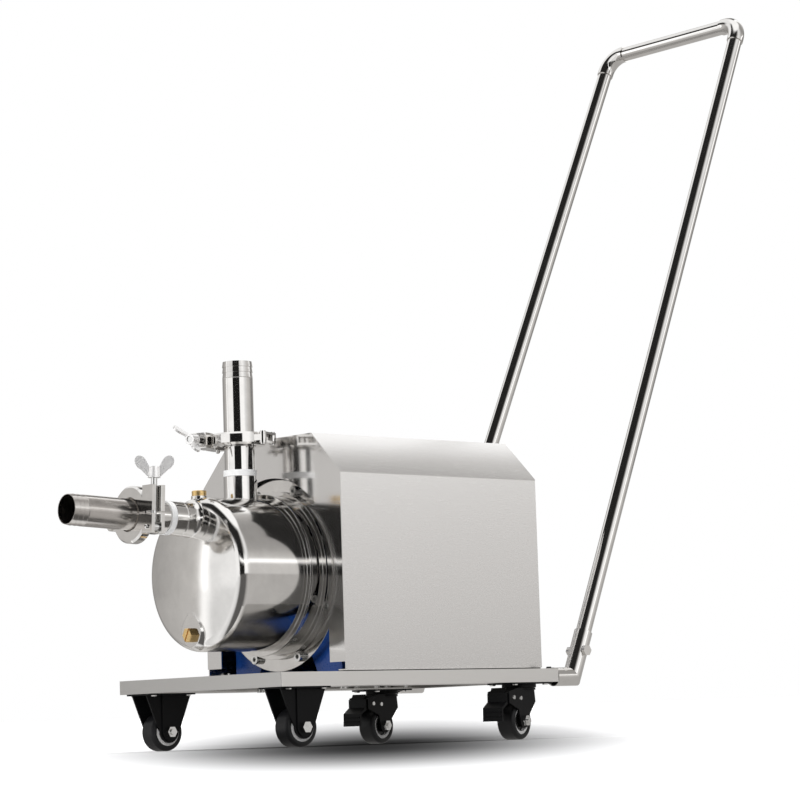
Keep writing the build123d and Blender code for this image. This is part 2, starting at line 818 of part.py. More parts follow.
with BuildPart() as casing:
    with BuildSketch(section):
        with BuildLine():
            start, mid, joint, mid_knuckle, crest = head_profile(0)
            ThreePointArc(start, mid, joint)
            ThreePointArc(joint, mid_knuckle, crest)
            Polyline(
                crest,
                (step_x, body_d / 2),
                (step_x, step_ring_d / 2),
                (step_x + step_ring_width, step_ring_d / 2),
                (step_x + step_ring_width, rear_body_d / 2),
                (flange_x - lip_ring_width, rear_body_d / 2),
                (flange_x - lip_ring_width, lip_ring_d / 2),
                (flange_x, lip_ring_d / 2),
                (flange_x, 0),
                start,
            )
        make_face()
    revolve(axis=pump_axis)
    with BuildSketch(axial(inlet_line)):
        with BuildLine():
            flare = (collar_base_d - stub_d) / 2
            flare_radius = (flare**2 + collar_depth**2) / (2 * flare)
            half_bend = asin(collar_depth / flare_radius) / 2
            Line((0, 0), (stub_d / 2, 0))
            ThreePointArc(
                (stub_d / 2, 0),
                (
                    stub_d / 2 + flare_radius * (1 - cos(half_bend)),
                    -flare_radius * sin(half_bend),
                ),
                (collar_base_d / 2, -collar_depth),
            )
            Polyline(
                (collar_base_d / 2, -collar_depth),
                (collar_base_d / 2 + 2.5, -collar_depth - 12.0),
                (0, -collar_depth - 12.0),
                (0, 0),
            )
        make_face()
        Polygon(
            (stub_d / 2 - 0.5, seam_at - seam_width / 2),
            (stub_d / 2, seam_at - seam_width / 2),
            (stub_d / 2 + seam_rise, seam_at - seam_width / 6),
            (stub_d / 2 + seam_rise, seam_at + seam_width / 6),
            (stub_d / 2, seam_at + seam_width / 2),
            (stub_d / 2 - 0.5, seam_at + seam_width / 2),
            align=None,
        )
    revolve(axis=Axis(inlet_line.origin, inlet_line.z_dir))
    with BuildSketch(drain_plane):
        with Locations((0, -drain_boss_lift)):
            Circle(drain_boss_d / 2)
        with BuildLine():
            peak_reach = drain_boss_peak - drain_boss_lift
            peak_angle = asin(drain_boss_d / 2 / peak_reach)
            slope_length = peak_reach * cos(peak_angle)
            shoulder_y = slope_length * sin(peak_angle)
            shoulder_z = slope_length * cos(peak_angle) - drain_boss_peak
            Polyline((-shoulder_y, shoulder_z), (0, -drain_boss_peak), (shoulder_y, shoulder_z), close=True)
        make_face()
    extrude(amount=-drain_boss_rise - 6.0, taper=-25)
    with BuildSketch(fill_plane.offset(-fill_boss)):
        Circle(plug_head_d / 2 + 1.0)
    extrude(amount=fill_boss)
    with BuildSketch(section):
        with BuildLine():
            start, mid, joint, mid_knuckle, crest = head_profile(body_wall)
            ThreePointArc(start, mid, joint)
            ThreePointArc(joint, mid_knuckle, crest)
            Polyline(
                crest,
                (step_x + step_ring_width, body_d / 2 - body_wall),
                (step_x + step_ring_width, rear_body_d / 2 - body_wall),
                (flange_x, rear_body_d / 2 - body_wall),
                (flange_x, 0),
                start,
            )
        make_face()
    revolve(axis=pump_axis, mode=Mode.SUBTRACT)
    with BuildSketch(inlet_line.offset(-40.0)):
        Circle(stub_d / 2 - 2.0)
    extrude(amount=60.0, mode=Mode.SUBTRACT)
    with BuildSketch(outlet_line.offset(-20.0)):
        Circle(stub_d / 2 - 2.0)
    extrude(amount=40.0, mode=Mode.SUBTRACT)
    for line, low, high in ((outlet_line, -14.0, outlet_stub), (inlet_line, -2.0, inlet_stub)):
        with BuildSketch(line.offset(low)):
            Circle(stub_d / 2)
            Circle(pipe_d / 2, mode=Mode.SUBTRACT)
        extrude(amount=high - low)
    with BuildSketch(drain_plane):
        Circle(plug_thread_d / 2 + running_fit)
    extrude(amount=-20.0, mode=Mode.SUBTRACT)
    with BuildSketch(fill_plane):
        Circle(plug_thread_d / 2 + running_fit)
    extrude(amount=-20.0, mode=Mode.SUBTRACT)
    with BuildSketch(cross_plane(flange_x)):
        Circle(raised_face_d / 2)
    extrude(amount=raised_face)
    with BuildSketch(cross_plane(flange_x + raised_face)):
        Circle(flange_d / 2)
    extrude(amount=flange_thick - raised_face)
    with BuildSketch(cross_plane(flange_x)):
        Circle(rear_body_d / 2 - body_wall)
    extrude(amount=flange_thick, mode=Mode.SUBTRACT)
    with BuildSketch(cross_plane(flange_x)):
        with PolarLocations(bolt_circle_d / 2, flange_bolts, start_angle=180 / flange_bolts):
            Circle(flange_bolt_d / 2 + hole_play)
    extrude(amount=flange_thick, mode=Mode.SUBTRACT)
save(casing, "pump_casing")

seal_bore = seal_d / 2 + 7.0
o_ring_r = rear_body_d / 2 - body_wall - 5.0
with BuildPart() as back_plate:
    with BuildSketch(cross_plane(back_x)):
        Circle(flange_d / 2 - 0.5)
        Circle(seal_bore, mode=Mode.SUBTRACT)
        with PolarLocations(bolt_circle_d / 2, flange_bolts, start_angle=180 / flange_bolts):
            Circle(flange_bolt_d / 2 + hole_play, mode=Mode.SUBTRACT)
    extrude(amount=back_plate_thick)
    with BuildSketch(cross_plane(back_x)):
        Circle(o_ring_r + 2.0)
        Circle(o_ring_r - 2.0, mode=Mode.SUBTRACT)
    extrude(amount=2.5, mode=Mode.SUBTRACT)
save(back_plate, "back_plate")

with BuildPart() as casing_o_ring:
    with BuildSketch(section):
        with Locations((back_x + 1.2, o_ring_r)):
            Circle(1.2)
    revolve(axis=pump_axis)

with BuildPart() as flange_screws:
    head_start = flange_x + raised_face
    with BuildSketch(cross_plane(head_start)):
        with PolarLocations(bolt_circle_d / 2, flange_bolts, start_angle=180 / flange_bolts):
            Circle(flange_head_d / 2)
    extrude(amount=-flange_head)
    with BuildSketch(cross_plane(head_start - flange_head)):
        with PolarLocations(bolt_circle_d / 2, flange_bolts, start_angle=180 / flange_bolts):
            hexagon(6.0)
    extrude(amount=4.5, mode=Mode.SUBTRACT)
    with BuildSketch(cross_plane(head_start)):
        with PolarLocations(bolt_circle_d / 2, flange_bolts, start_angle=180 / flange_bolts):
            Circle(flange_bolt_d / 2)
    extrude(amount=bracket_x - head_start + 14.0)
save(flange_screws, "flange_screws")

# Motor bracket, a blue casting with its own feet on the tray
with BuildPart() as motor_bracket:
    with BuildSketch(cross_plane(bracket_x)):
        Circle(flange_d / 2 - 1.0)
        half_foot = bracket_foot_width / 2
        with BuildLine():
            Polyline(
                (-half_foot, -shaft_height),
                (half_foot, -shaft_height),
                (half_foot, -shaft_height + 30.0),
                (half_foot + 4.0, -50.0),
                (-half_foot - 4.0, -50.0),
                (-half_foot, -shaft_height + 30.0),
                close=True,
            )
        make_face()
        with BuildLine():
            Polyline(
                (-bracket_arch_width / 2, -shaft_height),
                (-bracket_arch_width / 2 + 16.0, -motor_centre_height),
                (bracket_arch_width / 2 - 16.0, -motor_centre_height),
                (bracket_arch_width / 2, -shaft_height),
                close=True,
            )
        make_face(mode=Mode.SUBTRACT)
        Circle(bearing_d / 2 + 8.0, mode=Mode.SUBTRACT)
        with PolarLocations(bolt_circle_d / 2, flange_bolts, start_angle=180 / flange_bolts):
            Circle(flange_bolt_d / 2 + press_gap, mode=Mode.SUBTRACT)
    extrude(amount=bracket_thick)
    with BuildSketch(cross_plane(bracket_x + bracket_thick)):
        Circle(motor_fin_d / 2)
        Circle(bearing_d / 2 + press_gap, mode=Mode.SUBTRACT)
    extrude(amount=bearing_width - 4.0)
    with BuildSketch(cross_plane(bracket_x)):
        Circle(bearing_d / 2 + press_gap)
    extrude(amount=bracket_thick + bearing_width, mode=Mode.SUBTRACT)
    with BuildSketch(cross_plane(bracket_x)):
        Circle(bearing_d / 2 + 8.0)
        Circle(shaft_d / 2 + 4.0, mode=Mode.SUBTRACT)
    extrude(amount=bracket_thick)
    with BuildSketch(floor.offset(z_deck)):
        with Locations((x_front + (bracket_x + stud_lug_end) / 2, 0)):
            with GridLocations(1, 2 * bracket_bolt_y, 1, 2):
                Rectangle(stud_lug_end - bracket_x, bracket_foot_width - 2 * bracket_bolt_y)
    extrude(amount=stud_lug_height)
    with BuildSketch(floor.offset(z_deck)):
        with Locations((x_front + bracket_bolt_x, 0)):
            with GridLocations(1, 2 * bracket_bolt_y, 1, 2):
                Circle(foot_bolt_d / 2 + press_gap)
    extrude(amount=stud_depth + 2.0, mode=Mode.SUBTRACT)
save(motor_bracket, "motor_bracket")

frame_x = bracket_x + bracket_thick + bearing_width - 4.0
frame_end = frame_x + motor_frame_length
riser_height = shaft_height - motor_centre_height
with BuildPart() as motor_frame:
    with BuildSketch(cross_plane(frame_x)):
        Circle(motor_body_d / 2)
        fin_length = (motor_fin_d - motor_body_d) / 2 + 3.0
        with PolarLocations((motor_fin_d - fin_length) / 2, motor_fins):
            Rectangle(fin_length, 3.2)
        Circle(stator_d / 2 + press_gap, mode=Mode.SUBTRACT)
    extrude(amount=motor_frame_length)
    for side in (-1, 1):
        with BuildSketch(cross_plane(foot_mid - foot_pitch / 2 - 18.0)):
            with BuildLine():
                Polyline(
                    (side * (foot_spread / 2 - foot_width / 2), -motor_centre_height),
                    (side * (foot_spread / 2 + foot_width / 2), -motor_centre_height),
                    (side * (foot_spread / 2 + foot_width / 2), -motor_centre_height + foot_thick),
                    (side * (foot_spread / 2 - 4.0), -motor_centre_height + foot_thick + 30.0),
                    (side * (foot_spread / 2 - foot_width / 2), -motor_centre_height + 52.0),
                    close=True,
                )
            make_face()
        extrude(amount=foot_pitch + 36.0)
    with BuildSketch(cross_plane(frame_x)):
        Circle(stator_d / 2 + press_gap)
    extrude(amount=motor_frame_length, mode=Mode.SUBTRACT)
    with BuildSketch(floor.offset(z_deck + riser_height)):
        with Locations((x_front + foot_mid, 0)):
            with GridLocations(foot_pitch, foot_spread, 2, 2):
                Circle(foot_bolt_d / 2 + hole_play)
    extrude(amount=48.0, mode=Mode.SUBTRACT)
    with BuildSketch(floor.offset(z_deck + riser_height + foot_thick)):
        with Locations((x_front + foot_mid, 0)):
            with GridLocations(foot_pitch, foot_spread, 2, 2):
                Circle(foot_bolt_d)
    extrude(amount=36.0, mode=Mode.SUBTRACT)
save(motor_frame, "motor_frame")

with BuildPart() as motor_risers:
    with BuildSketch(floor.offset(z_deck)):
        with Locations((x_front + foot_mid, 0)):
            with GridLocations(1, foot_spread, 1, 2):
                Rectangle(foot_pitch + 36.0, foot_width)
            with GridLocations(foot_pitch, foot_spread, 2, 2):
                Circle(foot_bolt_d / 2 + hole_play, mode=Mode.SUBTRACT)
    extrude(amount=riser_height)
save(motor_risers, "motor_risers")

with BuildPart() as motor_bolts:
    with BuildSketch(floor.offset(z_lip + deck_sheet + 2.0)):
        with Locations((x_front + foot_mid, 0)):
            with GridLocations(foot_pitch, foot_spread, 2, 2):
                Circle(foot_bolt_d / 2)
    extrude(amount=z_deck + riser_height + foot_thick - z_lip - deck_sheet - 2.0)
    with BuildSketch(floor.offset(z_deck + riser_height + foot_thick)):
        with Locations((x_front + foot_mid, 0)):
            with GridLocations(foot_pitch, foot_spread, 2, 2):
                hexagon(foot_nut_af)
    extrude(amount=6.4)
    with BuildSketch(floor.offset(z_lip - stud_below)):
        with Locations((x_front + bracket_bolt_x, 0)):
            with GridLocations(1, 2 * bracket_bolt_y, 1, 2):
                Circle(foot_bolt_d / 2)
    extrude(amount=stud_below + lip_height + stud_depth)

with BuildPart() as motor_nuts:
    with BuildSketch(floor.offset(z_deck - deck_sheet)):
        with Locations((x_front + foot_mid, 0)):
            with GridLocations(foot_pitch, foot_spread, 2, 2):
                hexagon(foot_nut_af)
                Circle(foot_bolt_d / 2 + press_gap, mode=Mode.SUBTRACT)
        with Locations((x_front + bracket_bolt_x, 0)):
            with GridLocations(1, 2 * bracket_bolt_y, 1, 2):
                hexagon(foot_nut_af)
                Circle(foot_bolt_d / 2 + press_gap, mode=Mode.SUBTRACT)
    extrude(amount=-foot_nut)

with BuildPart() as rear_shield:
    with BuildSketch(cross_plane(frame_end)):
        Circle(motor_fin_d / 2 - 2.0)
        Circle(shaft_d / 2 + 4.0, mode=Mode.SUBTRACT)
    extrude(amount=bearing_width + 4.0)
    with BuildSketch(cross_plane(frame_end)):
        Circle(bearing_d / 2 + press_gap)
    extrude(amount=bearing_width, mode=Mode.SUBTRACT)
save(rear_shield, "rear_shield")

fan_x = frame_end + bearing_width + 10.0
cowl_x = frame_end + bearing_width + 4.0
with BuildPart() as fan_cowl:
    r = cowl_d / 2
    cowl_end = cowl_x + cowl_length
    turn_in = cowl_sheet * tan(radians(22.5))
    with BuildSketch(section):
        Polygon(
            (cowl_x, r),
            (cowl_end - cowl_bevel, r),
            (cowl_end, r - cowl_bevel),
            (cowl_end, 0),
            (cowl_end - cowl_sheet, 0),
            (cowl_end - cowl_sheet, r - cowl_bevel - turn_in),
            (cowl_end - cowl_bevel - turn_in, r - cowl_sheet),
            (cowl_x, r - cowl_sheet),
            align=None,
        )
    revolve(axis=pump_axis)
    with BuildSketch(cross_plane(cowl_x + cowl_length)):
        with PolarLocations(cowl_slot_ring, cowl_slots):
            SlotOverall(cowl_slot_length, cowl_slot_width)
    extrude(amount=-2 * cowl_sheet, mode=Mode.SUBTRACT)
save(fan_cowl, "fan_cowl")

with BuildPart() as fan:
    with BuildSketch(cross_plane(fan_x)):
        Circle(24.0)
        Circle(fan_bore_d / 2 + press_gap, mode=Mode.SUBTRACT)
    extrude(amount=20.0)
    with BuildSketch(cross_plane(fan_x)):
        Circle(fan_d / 2)
        Circle(22.0, mode=Mode.SUBTRACT)
    extrude(amount=2.5)
    with BuildSketch(cross_plane(fan_x)):
        with PolarLocations((fan_d / 2 + 22.0) / 2, 8):
            Rectangle(fan_d / 2 - 22.0, 2.5)
    extrude(amount=32.0)
save(fan, "fan")

# Shaft, rotor and bearings on the pump's axis
shaft_nose = volute_x - 6.0
rotor_start = frame_x + 22.0
rotor_end = frame_end - 24.0
bearing_bore = bearing_seat_d / 2
with BuildPart() as pump_shaft:
    with BuildSketch(section):
        Polygon(
            (shaft_nose, 0),
            (shaft_nose, impeller_seat_d / 2 - 2.0),
            (impeller_x, impeller_seat_d / 2 - 2.0),
            (impeller_x, impeller_seat_d / 2),
            (impeller_x + impeller_hub, impeller_seat_d / 2),
            (impeller_x + impeller_hub, seal_d / 2),
            (bracket_x + bracket_thick - 4.0, seal_d / 2),
            (bracket_x + bracket_thick - 4.0, bearing_bore - running_fit),
            (bracket_x + bracket_thick + bearing_width, bearing_bore - running_fit),
            (bracket_x + bracket_thick + bearing_width, bearing_bore + 3.0),
            (frame_end, bearing_bore + 3.0),
            (frame_end, bearing_bore - running_fit),
            (frame_end + bearing_width, bearing_bore - running_fit),
            (frame_end + bearing_width, fan_bore_d / 2),
            (fan_x + 24.0, fan_bore_d / 2),
            (fan_x + 24.0, 0),
            align=None,
        )
    revolve(axis=pump_axis)
save(pump_shaft, "pump_shaft")

with BuildPart() as motor_rotor:
    with BuildSketch(cross_plane(rotor_start)):
        Circle(rotor_d / 2)
        Circle(bearing_bore + 3.0 + press_gap, mode=Mode.SUBTRACT)
    extrude(amount=rotor_end - rotor_start)
save(motor_rotor, "motor_rotor")

with BuildPart() as stator_core:
    with BuildSketch(cross_plane(rotor_start)):
        Circle(stator_d / 2)
        Circle(rotor_d / 2 + air_gap, mode=Mode.SUBTRACT)
    extrude(amount=rotor_end - rotor_start)

with BuildPart() as stator_windings:
    for start in (rotor_start - 17.0, rotor_end):
        with BuildSketch(cross_plane(start)):
            Circle(stator_d / 2 - 4.0)
            Circle(rotor_d / 2 + 5.0, mode=Mode.SUBTRACT)
        extrude(amount=17.0)
save_group((stator_core, stator_windings), "motor_stator")

with BuildPart() as motor_bearings:
    for bearing_start in (bracket_x + bracket_thick, frame_end):
        with BuildSketch(cross_plane(bearing_start)):
            Circle(bearing_d / 2)
            Circle(bearing_bore, mode=Mode.SUBTRACT)
        extrude(amount=bearing_width)
save(motor_bearings, "motor_bearings")

box_z = z_axis + motor_fin_d / 2
gland_plane = cross_plane(foot_mid + box_length / 2, z=box_z + gland_rise)
with BuildPart() as terminal_box:
    with BuildSketch(Plane((x_front + foot_mid, 0, box_z))):
        RectangleRounded(box_length, box_width, box_corner)
    extrude(amount=box_height)
    with BuildSketch(Plane((x_front + foot_mid, 0, box_z + box_wall))):
        RectangleRounded(box_length - 2 * box_wall, box_width - 2 * box_wall, box_corner - 3.0)
    extrude(amount=box_height, mode=Mode.SUBTRACT)
    with BuildSketch(gland_plane):
        Circle(gland_d / 2)
    extrude(amount=-2 * box_wall, mode=Mode.SUBTRACT)

with BuildPart() as terminal_lid:
    with BuildSketch(Plane((x_front + foot_mid, 0, box_z + box_height))):
        RectangleRounded(box_length, box_width, box_corner)
    extrude(amount=lid_height)
    chamfer(terminal_lid.faces().sort_by(Axis.Z)[-1].edges(), 2.0)
save_group((terminal_box, terminal_lid), "terminal_box")

with BuildPart() as cable_gland:
    with BuildSketch(gland_plane):
        hexagon(gland_d + 4.0)
        Circle(gland_bore_d / 2, mode=Mode.SUBTRACT)
    extrude(amount=12.0)
    with BuildSketch(gland_plane):
        Circle(gland_d / 2 - press_gap)
        Circle(gland_bore_d / 2, mode=Mode.SUBTRACT)
    extrude(amount=-2 * box_wall)

# Impeller, its chamber and the shaft seal
with BuildPart() as impeller:
    with BuildSketch(cross_plane(impeller_x)):
        Circle(16.0)
    extrude(amount=impeller_hub)
    with BuildSketch(cross_plane(impeller_x + impeller_width - vane_thick)):
        Circle(impeller_d / 2)
    extrude(amount=vane_thick)
    with BuildSketch(cross_plane(impeller_x)):
        with PolarLocations(0, impeller_vanes):
            with BuildLine():
                inner_arc = ThreePointArc((13.0, 0), (44.0, 13.0), (58.0, 34.0))
                outer_tip = (58.0 - vane_thick, 34.0 + vane_thick / 2)
                outer_arc = ThreePointArc(outer_tip, (41.0, 16.5), (13.0, 5.0))
                Line(inner_arc @ 1, outer_arc @ 0)
                Line(outer_arc @ 1, inner_arc @ 0)
            make_face()
    extrude(amount=impeller_width - vane_thick)
    with BuildSketch(cross_plane(impeller_x)):
        Circle(impeller_seat_d / 2 + press_gap)
    extrude(amount=impeller_hub, mode=Mode.SUBTRACT)

with BuildPart() as impeller_nut:
    with BuildSketch(cross_plane(impeller_x)):
        hexagon(24.0)
        Circle(impeller_seat_d / 2 - 2.0 + press_gap, mode=Mode.SUBTRACT)
    extrude(amount=-8.0)
save_group((impeller, impeller_nut), "impeller")

with BuildPart() as volute_chamber:
    with BuildSketch(cross_plane(volute_x)):
        Circle(volute_d / 2)
    extrude(amount=volute_depth)
    with BuildSketch(cross_plane(volute_x + volute_wall)):
        Circle(volute_d / 2 - volute_wall)
    extrude(amount=volute_depth - volute_wall, mode=Mode.SUBTRACT)
    with BuildSketch(cross_plane(volute_x)):
        Circle(eye_d / 2)
    extrude(amount=volute_wall, mode=Mode.SUBTRACT)
    with BuildSketch(Plane((x_front + volute_x + volute_depth / 2, 0, z_axis + volute_d / 3))):
        Rectangle(volute_depth - 12.0, 46.0)
    extrude(amount=volute_d / 3, mode=Mode.SUBTRACT)
save(volute_chamber, "volute_chamber")

seal_face_x = back_x - 3.0
with BuildPart() as seal_head:
    with BuildSketch(section):
        Polygon(
            (impeller_x + impeller_hub, seal_d / 2 + press_gap),
            (impeller_x + impeller_hub, seal_bore - 2.5),
            (seal_face_x - 3.0, seal_bore - 2.5),
            (seal_face_x - 3.0, seal_bore - 4.0),
            (seal_face_x, seal_bore - 4.0),
            (seal_face_x, seal_d / 2 + press_gap),
            align=None,
        )
    revolve(axis=pump_axis)
save(seal_head, "seal_head")

with BuildPart() as seal_seat:
    with BuildSketch(section):
        Polygon(
            (seal_face_x + running_fit, seal_d / 2 + 1.0),
            (seal_face_x + running_fit, seal_bore - 3.0),
            (back_x, seal_bore - 3.0),
            (back_x, seal_bore - press_gap),
            (bracket_x, seal_bore - press_gap),
            (bracket_x, seal_d / 2 + 1.0),
            align=None,
        )
    revolve(axis=pump_axis)


# Suction and discharge lines, each a stub, an adapter, a clamped joint and a hose tail
def pipe_ends(line, stub, clamp_at, prefix):
    """Thread tape, ferrule adapter, gasket and hose tail of one line."""
    bore = pipe_d / 2 - pipe_wall
    outer = pipe_d / 2
    rim = ferrule_d / 2
    slope = (rim - outer) * tan(radians(ferrule_slope))
    face = clamp_at - gasket_thick / 2
    end_face = clamp_at + gasket_thick / 2
    tip = clamp_at + tail_length
    axis = Axis(line.origin, line.z_dir)
    with BuildPart() as thread_tape:
        with BuildSketch(line.offset(stub)):
            Circle(tape_d / 2)
            Circle(outer + press_gap, mode=Mode.SUBTRACT)
        extrude(amount=tape_width)
    with BuildPart() as adapter:
        with BuildSketch(axial(line)):
            Polygon(
                (bore, stub - stub_socket),
                (outer - running_fit, stub - stub_socket),
                (outer - running_fit, stub),
                (outer, stub),
                (outer, face - ferrule_rim - slope),
                (rim, face - ferrule_rim),
                (rim, face),
                (bore, face),
                align=None,
            )
        revolve(axis=axis)
    with BuildPart() as gasket:
        with BuildSketch(line.offset(face)):
            Circle(rim - 0.6)
            Circle(bore, mode=Mode.SUBTRACT)
        extrude(amount=gasket_thick)
    barb_corners = []
    for tooth in range(barbs):
        back = tip - (barbs - tooth) * barb_pitch
        barb_corners.append((outer, back))
        barb_corners.append((outer - barb_depth, back + barb_pitch))
    with BuildPart() as hose_tail:
        with BuildSketch(axial(line)):
            Polygon(
                (bore, end_face),
                (rim, end_face),
                (rim, end_face + ferrule_rim),
                (outer, end_face + ferrule_rim + slope),
                (outer, tip - barbs * barb_pitch - 0.8),
                (outer - barb_depth / 2, tip - barbs * barb_pitch - 0.1),
                *barb_corners,
                (bore, tip),
                align=None,
            )
        revolve(axis=axis)
    save(hose_tail, f"{prefix}_hose_tail")
    return thread_tape, adapter, gasket


def clamp(line, clamp_at, prefix, wing_turn):
    """Hinged clamp with its link, swing bolt and wing nut, around one joint."""
    centre = line.offset(clamp_at)
    axis = Axis(line.origin, line.z_dir)
    r = clamp_d / 2
    groove = ferrule_d / 2 + clamp_play
    groove_half = gasket_thick / 2 + ferrule_rim + clamp_play
    mouth = pipe_d / 2 + 2.0
    mouth_half = groove_half + (groove - mouth) * tan(radians(ferrule_slope))
    half = clamp_width / 2
    split_plane = Plane(origin=centre.origin, x_dir=centre.x_dir, z_dir=centre.y_dir)
    clamp_pieces = []
    for way, lug in ((1, upper_lug), (-1, lower_lug)):
        with BuildPart() as clamp_half:
            with BuildSketch(axial(centre)):
                Polygon(
                    (r - 2.5, -half),
                    (r, -half + 2.5),
                    (r, half - 2.5),
                    (r - 2.5, half),
                    (mouth, half),
                    (mouth, mouth_half),
                    (groove, groove_half),
                    (groove, -groove_half),
                    (mouth, -mouth_half),
                    (mouth, -half),
                    align=None,
                )
            revolve(axis=axis)
            with BuildSketch(split_plane):
                Rectangle(4 * r, 4 * r)
            extrude(amount=-way * 2 * r, mode=Mode.SUBTRACT)
            with BuildSketch(centre):
                with Locations(((r - 6.0 + lug_reach) / 2, way * lug / 2)):
                    Rectangle(lug_reach - r + 6.0, lug)
                Circle(r - 2.0, mode=Mode.SUBTRACT)
            extrude(amount=lug_width / 2, both=True)
            with BuildSketch(centre):
                with Locations((-hinge_out, way * hinge_pitch / 2)):
                    Circle(hinge_pin_d / 2 + 2.5)
                with Locations((-(hinge_out + r - 5.0) / 2, way * hinge_pitch / 2)):
                    Rectangle(hinge_out - r + 5.0, hinge_pin_d + 5.0)
            extrude(amount=hinge_lug / 2, both=True)
            slot_start = swing_bolt_out - swing_eye_d / 2 - loose_fit
            with BuildSketch(centre):
                with Locations(((slot_start + 2 * lug_reach) / 2, way * lug)):
                    Rectangle(2 * lug_reach - slot_start, 2 * lug)
            extrude(amount=lug_slot / 2, both=True, mode=Mode.SUBTRACT)
            with BuildSketch(split_plane):
                Rectangle(4 * r, 4 * r)
            extrude(amount=way * clamp_split / 2, mode=Mode.SUBTRACT)
            with BuildSketch(centre.offset(-lug_width)):
                with Locations((-hinge_out, way * hinge_pitch / 2)):
                    Circle(hinge_pin_d / 2 + running_fit)
                if way < 0:
                    with Locations((swing_bolt_out, -swing_pin_drop)):
                        Circle(swing_pin_d / 2 + press_gap)
            extrude(amount=2 * lug_width, mode=Mode.SUBTRACT)
        clamp_pieces.append(clamp_half)
    with BuildPart() as link:
        for side in (-1, 1):
            with BuildSketch(centre.offset(side * (hinge_lug / 2 + 0.1))):
                with Locations((-hinge_out, 0)):
                    SlotCenterToCenter(hinge_pitch, hinge_pin_d + 5.0, rotation=90)
                with Locations((-hinge_out, hinge_pitch / 2), (-hinge_out, -hinge_pitch / 2)):
                    Circle(hinge_pin_d / 2 + running_fit, mode=Mode.SUBTRACT)
            extrude(amount=side * link_thick)
    with BuildPart() as hinge_pins:
        pin_half = hinge_lug / 2 + link_thick + 0.1
        with BuildSketch(centre.offset(-pin_half - 1.5)):
            with Locations((-hinge_out, hinge_pitch / 2), (-hinge_out, -hinge_pitch / 2)):
                Circle(hinge_pin_d / 2)
        extrude(amount=2 * pin_half + 3.0)
        for side in (-1, 1):
            with BuildSketch(centre.offset(side * pin_half)):
                with Locations((-hinge_out, hinge_pitch / 2), (-hinge_out, -hinge_pitch / 2)):
                    Circle(hinge_pin_d / 2 + 1.2)
            extrude(amount=side * 1.5)
    with BuildPart() as swing_pin:
        pin_end = lug_width / 2 + swing_pin_stand
        with BuildSketch(centre.offset(-pin_end)):
            with Locations((swing_bolt_out, -swing_pin_drop)):
                Circle(swing_pin_d / 2)
        extrude(amount=2 * pin_end)
        fillet(swing_pin.edges().filter_by(GeomType.CIRCLE), swing_pin_d / 2 - 0.6)
    save_group((*clamp_pieces, link, hinge_pins, swing_pin), f"{prefix}_clamp")
    bolt_top = upper_lug + nut_gap + nut_height - 1.5
    with BuildPart() as swing_bolt:
        with BuildSketch(centre):
            with Locations((swing_bolt_out, -swing_pin_drop)):
                Circle(swing_eye_d / 2)
        extrude(amount=swing_eye_width / 2, both=True)
        shank_plane = Plane(
            origin=centre.from_local_coords((swing_bolt_out, -swing_pin_drop, 0)),
            x_dir=centre.x_dir,
            z_dir=centre.y_dir,
        )
        with BuildSketch(shank_plane.offset(swing_eye_d / 2 - 2.0)):
            Circle(swing_bolt_d / 2)
        extrude(amount=bolt_top + swing_pin_drop - swing_eye_d / 2 + 2.0)
        with BuildSketch(centre.offset(-swing_eye_width)):
            with Locations((swing_bolt_out, -swing_pin_drop)):
                Circle(swing_pin_d / 2 + running_fit)
        extrude(amount=2 * swing_eye_width, mode=Mode.SUBTRACT)
    save(swing_bolt, f"{prefix}_swing_bolt")
    nut_base = shank_plane.offset(swing_pin_drop + upper_lug + nut_gap)
    a = radians(wing_turn)
    wing_dir = centre.x_dir * cos(a) + centre.z_dir * sin(a)
    wing_plane = Plane(origin=nut_base.origin, x_dir=wing_dir, z_dir=wing_dir.cross(nut_base.z_dir))
    with BuildPart() as wing_nut:
        with BuildSketch(nut_base):
            Circle(nut_hub_d / 2)
        extrude(amount=nut_height, taper=5)
        with BuildSketch(wing_plane):
            for way in (-1, 1):
                with BuildLine():
                    Polyline(
                        (0, 1.0),
                        (way * (nut_hub_d / 2 - 0.5), 1.0),
                        (way * (wing_span / 2 - 3.5), wing_rise - 14.0),
                        (way * (wing_span / 2 - 14.0), wing_rise - 6.0),
                        (way * (nut_hub_d / 2 - 2.0), nut_height - 1.0),
                        (0, nut_height - 1.0),
                        close=True,
                    )
                make_face()
                with Locations(Location((way * (wing_span / 2 - 7.5), wing_rise - 9.0), -way * 32)):
                    Ellipse(7.0, 9.5)
        extrude(amount=wing_thick / 2, both=True)
        with BuildSketch(nut_base):
            Circle(swing_bolt_d / 2 + running_fit)
        extrude(amount=nut_height + 2.0, mode=Mode.SUBTRACT)
    save(wing_nut, f"{prefix}_wing_nut")
    return shank_plane, nut_base


outlet_ends = pipe_ends(outlet_line, outlet_stub, outlet_clamp, "outlet")
inlet_ends = pipe_ends(inlet_line, inlet_stub, inlet_clamp, "inlet")
thread_tapes, ferrule_adapters, gaskets = zip(outlet_ends, inlet_ends)
save_group(thread_tapes, "thread_tapes")
save_group(ferrule_adapters, "ferrule_adapters")
save_group((*gaskets, casing_o_ring, seal_seat), "seal_rings")
outlet_swing, outlet_nut = clamp(outlet_line, outlet_clamp, "outlet", outlet_wing_turn)
inlet_swing, inlet_nut = clamp(inlet_line, inlet_clamp, "inlet", inlet_wing_turn)


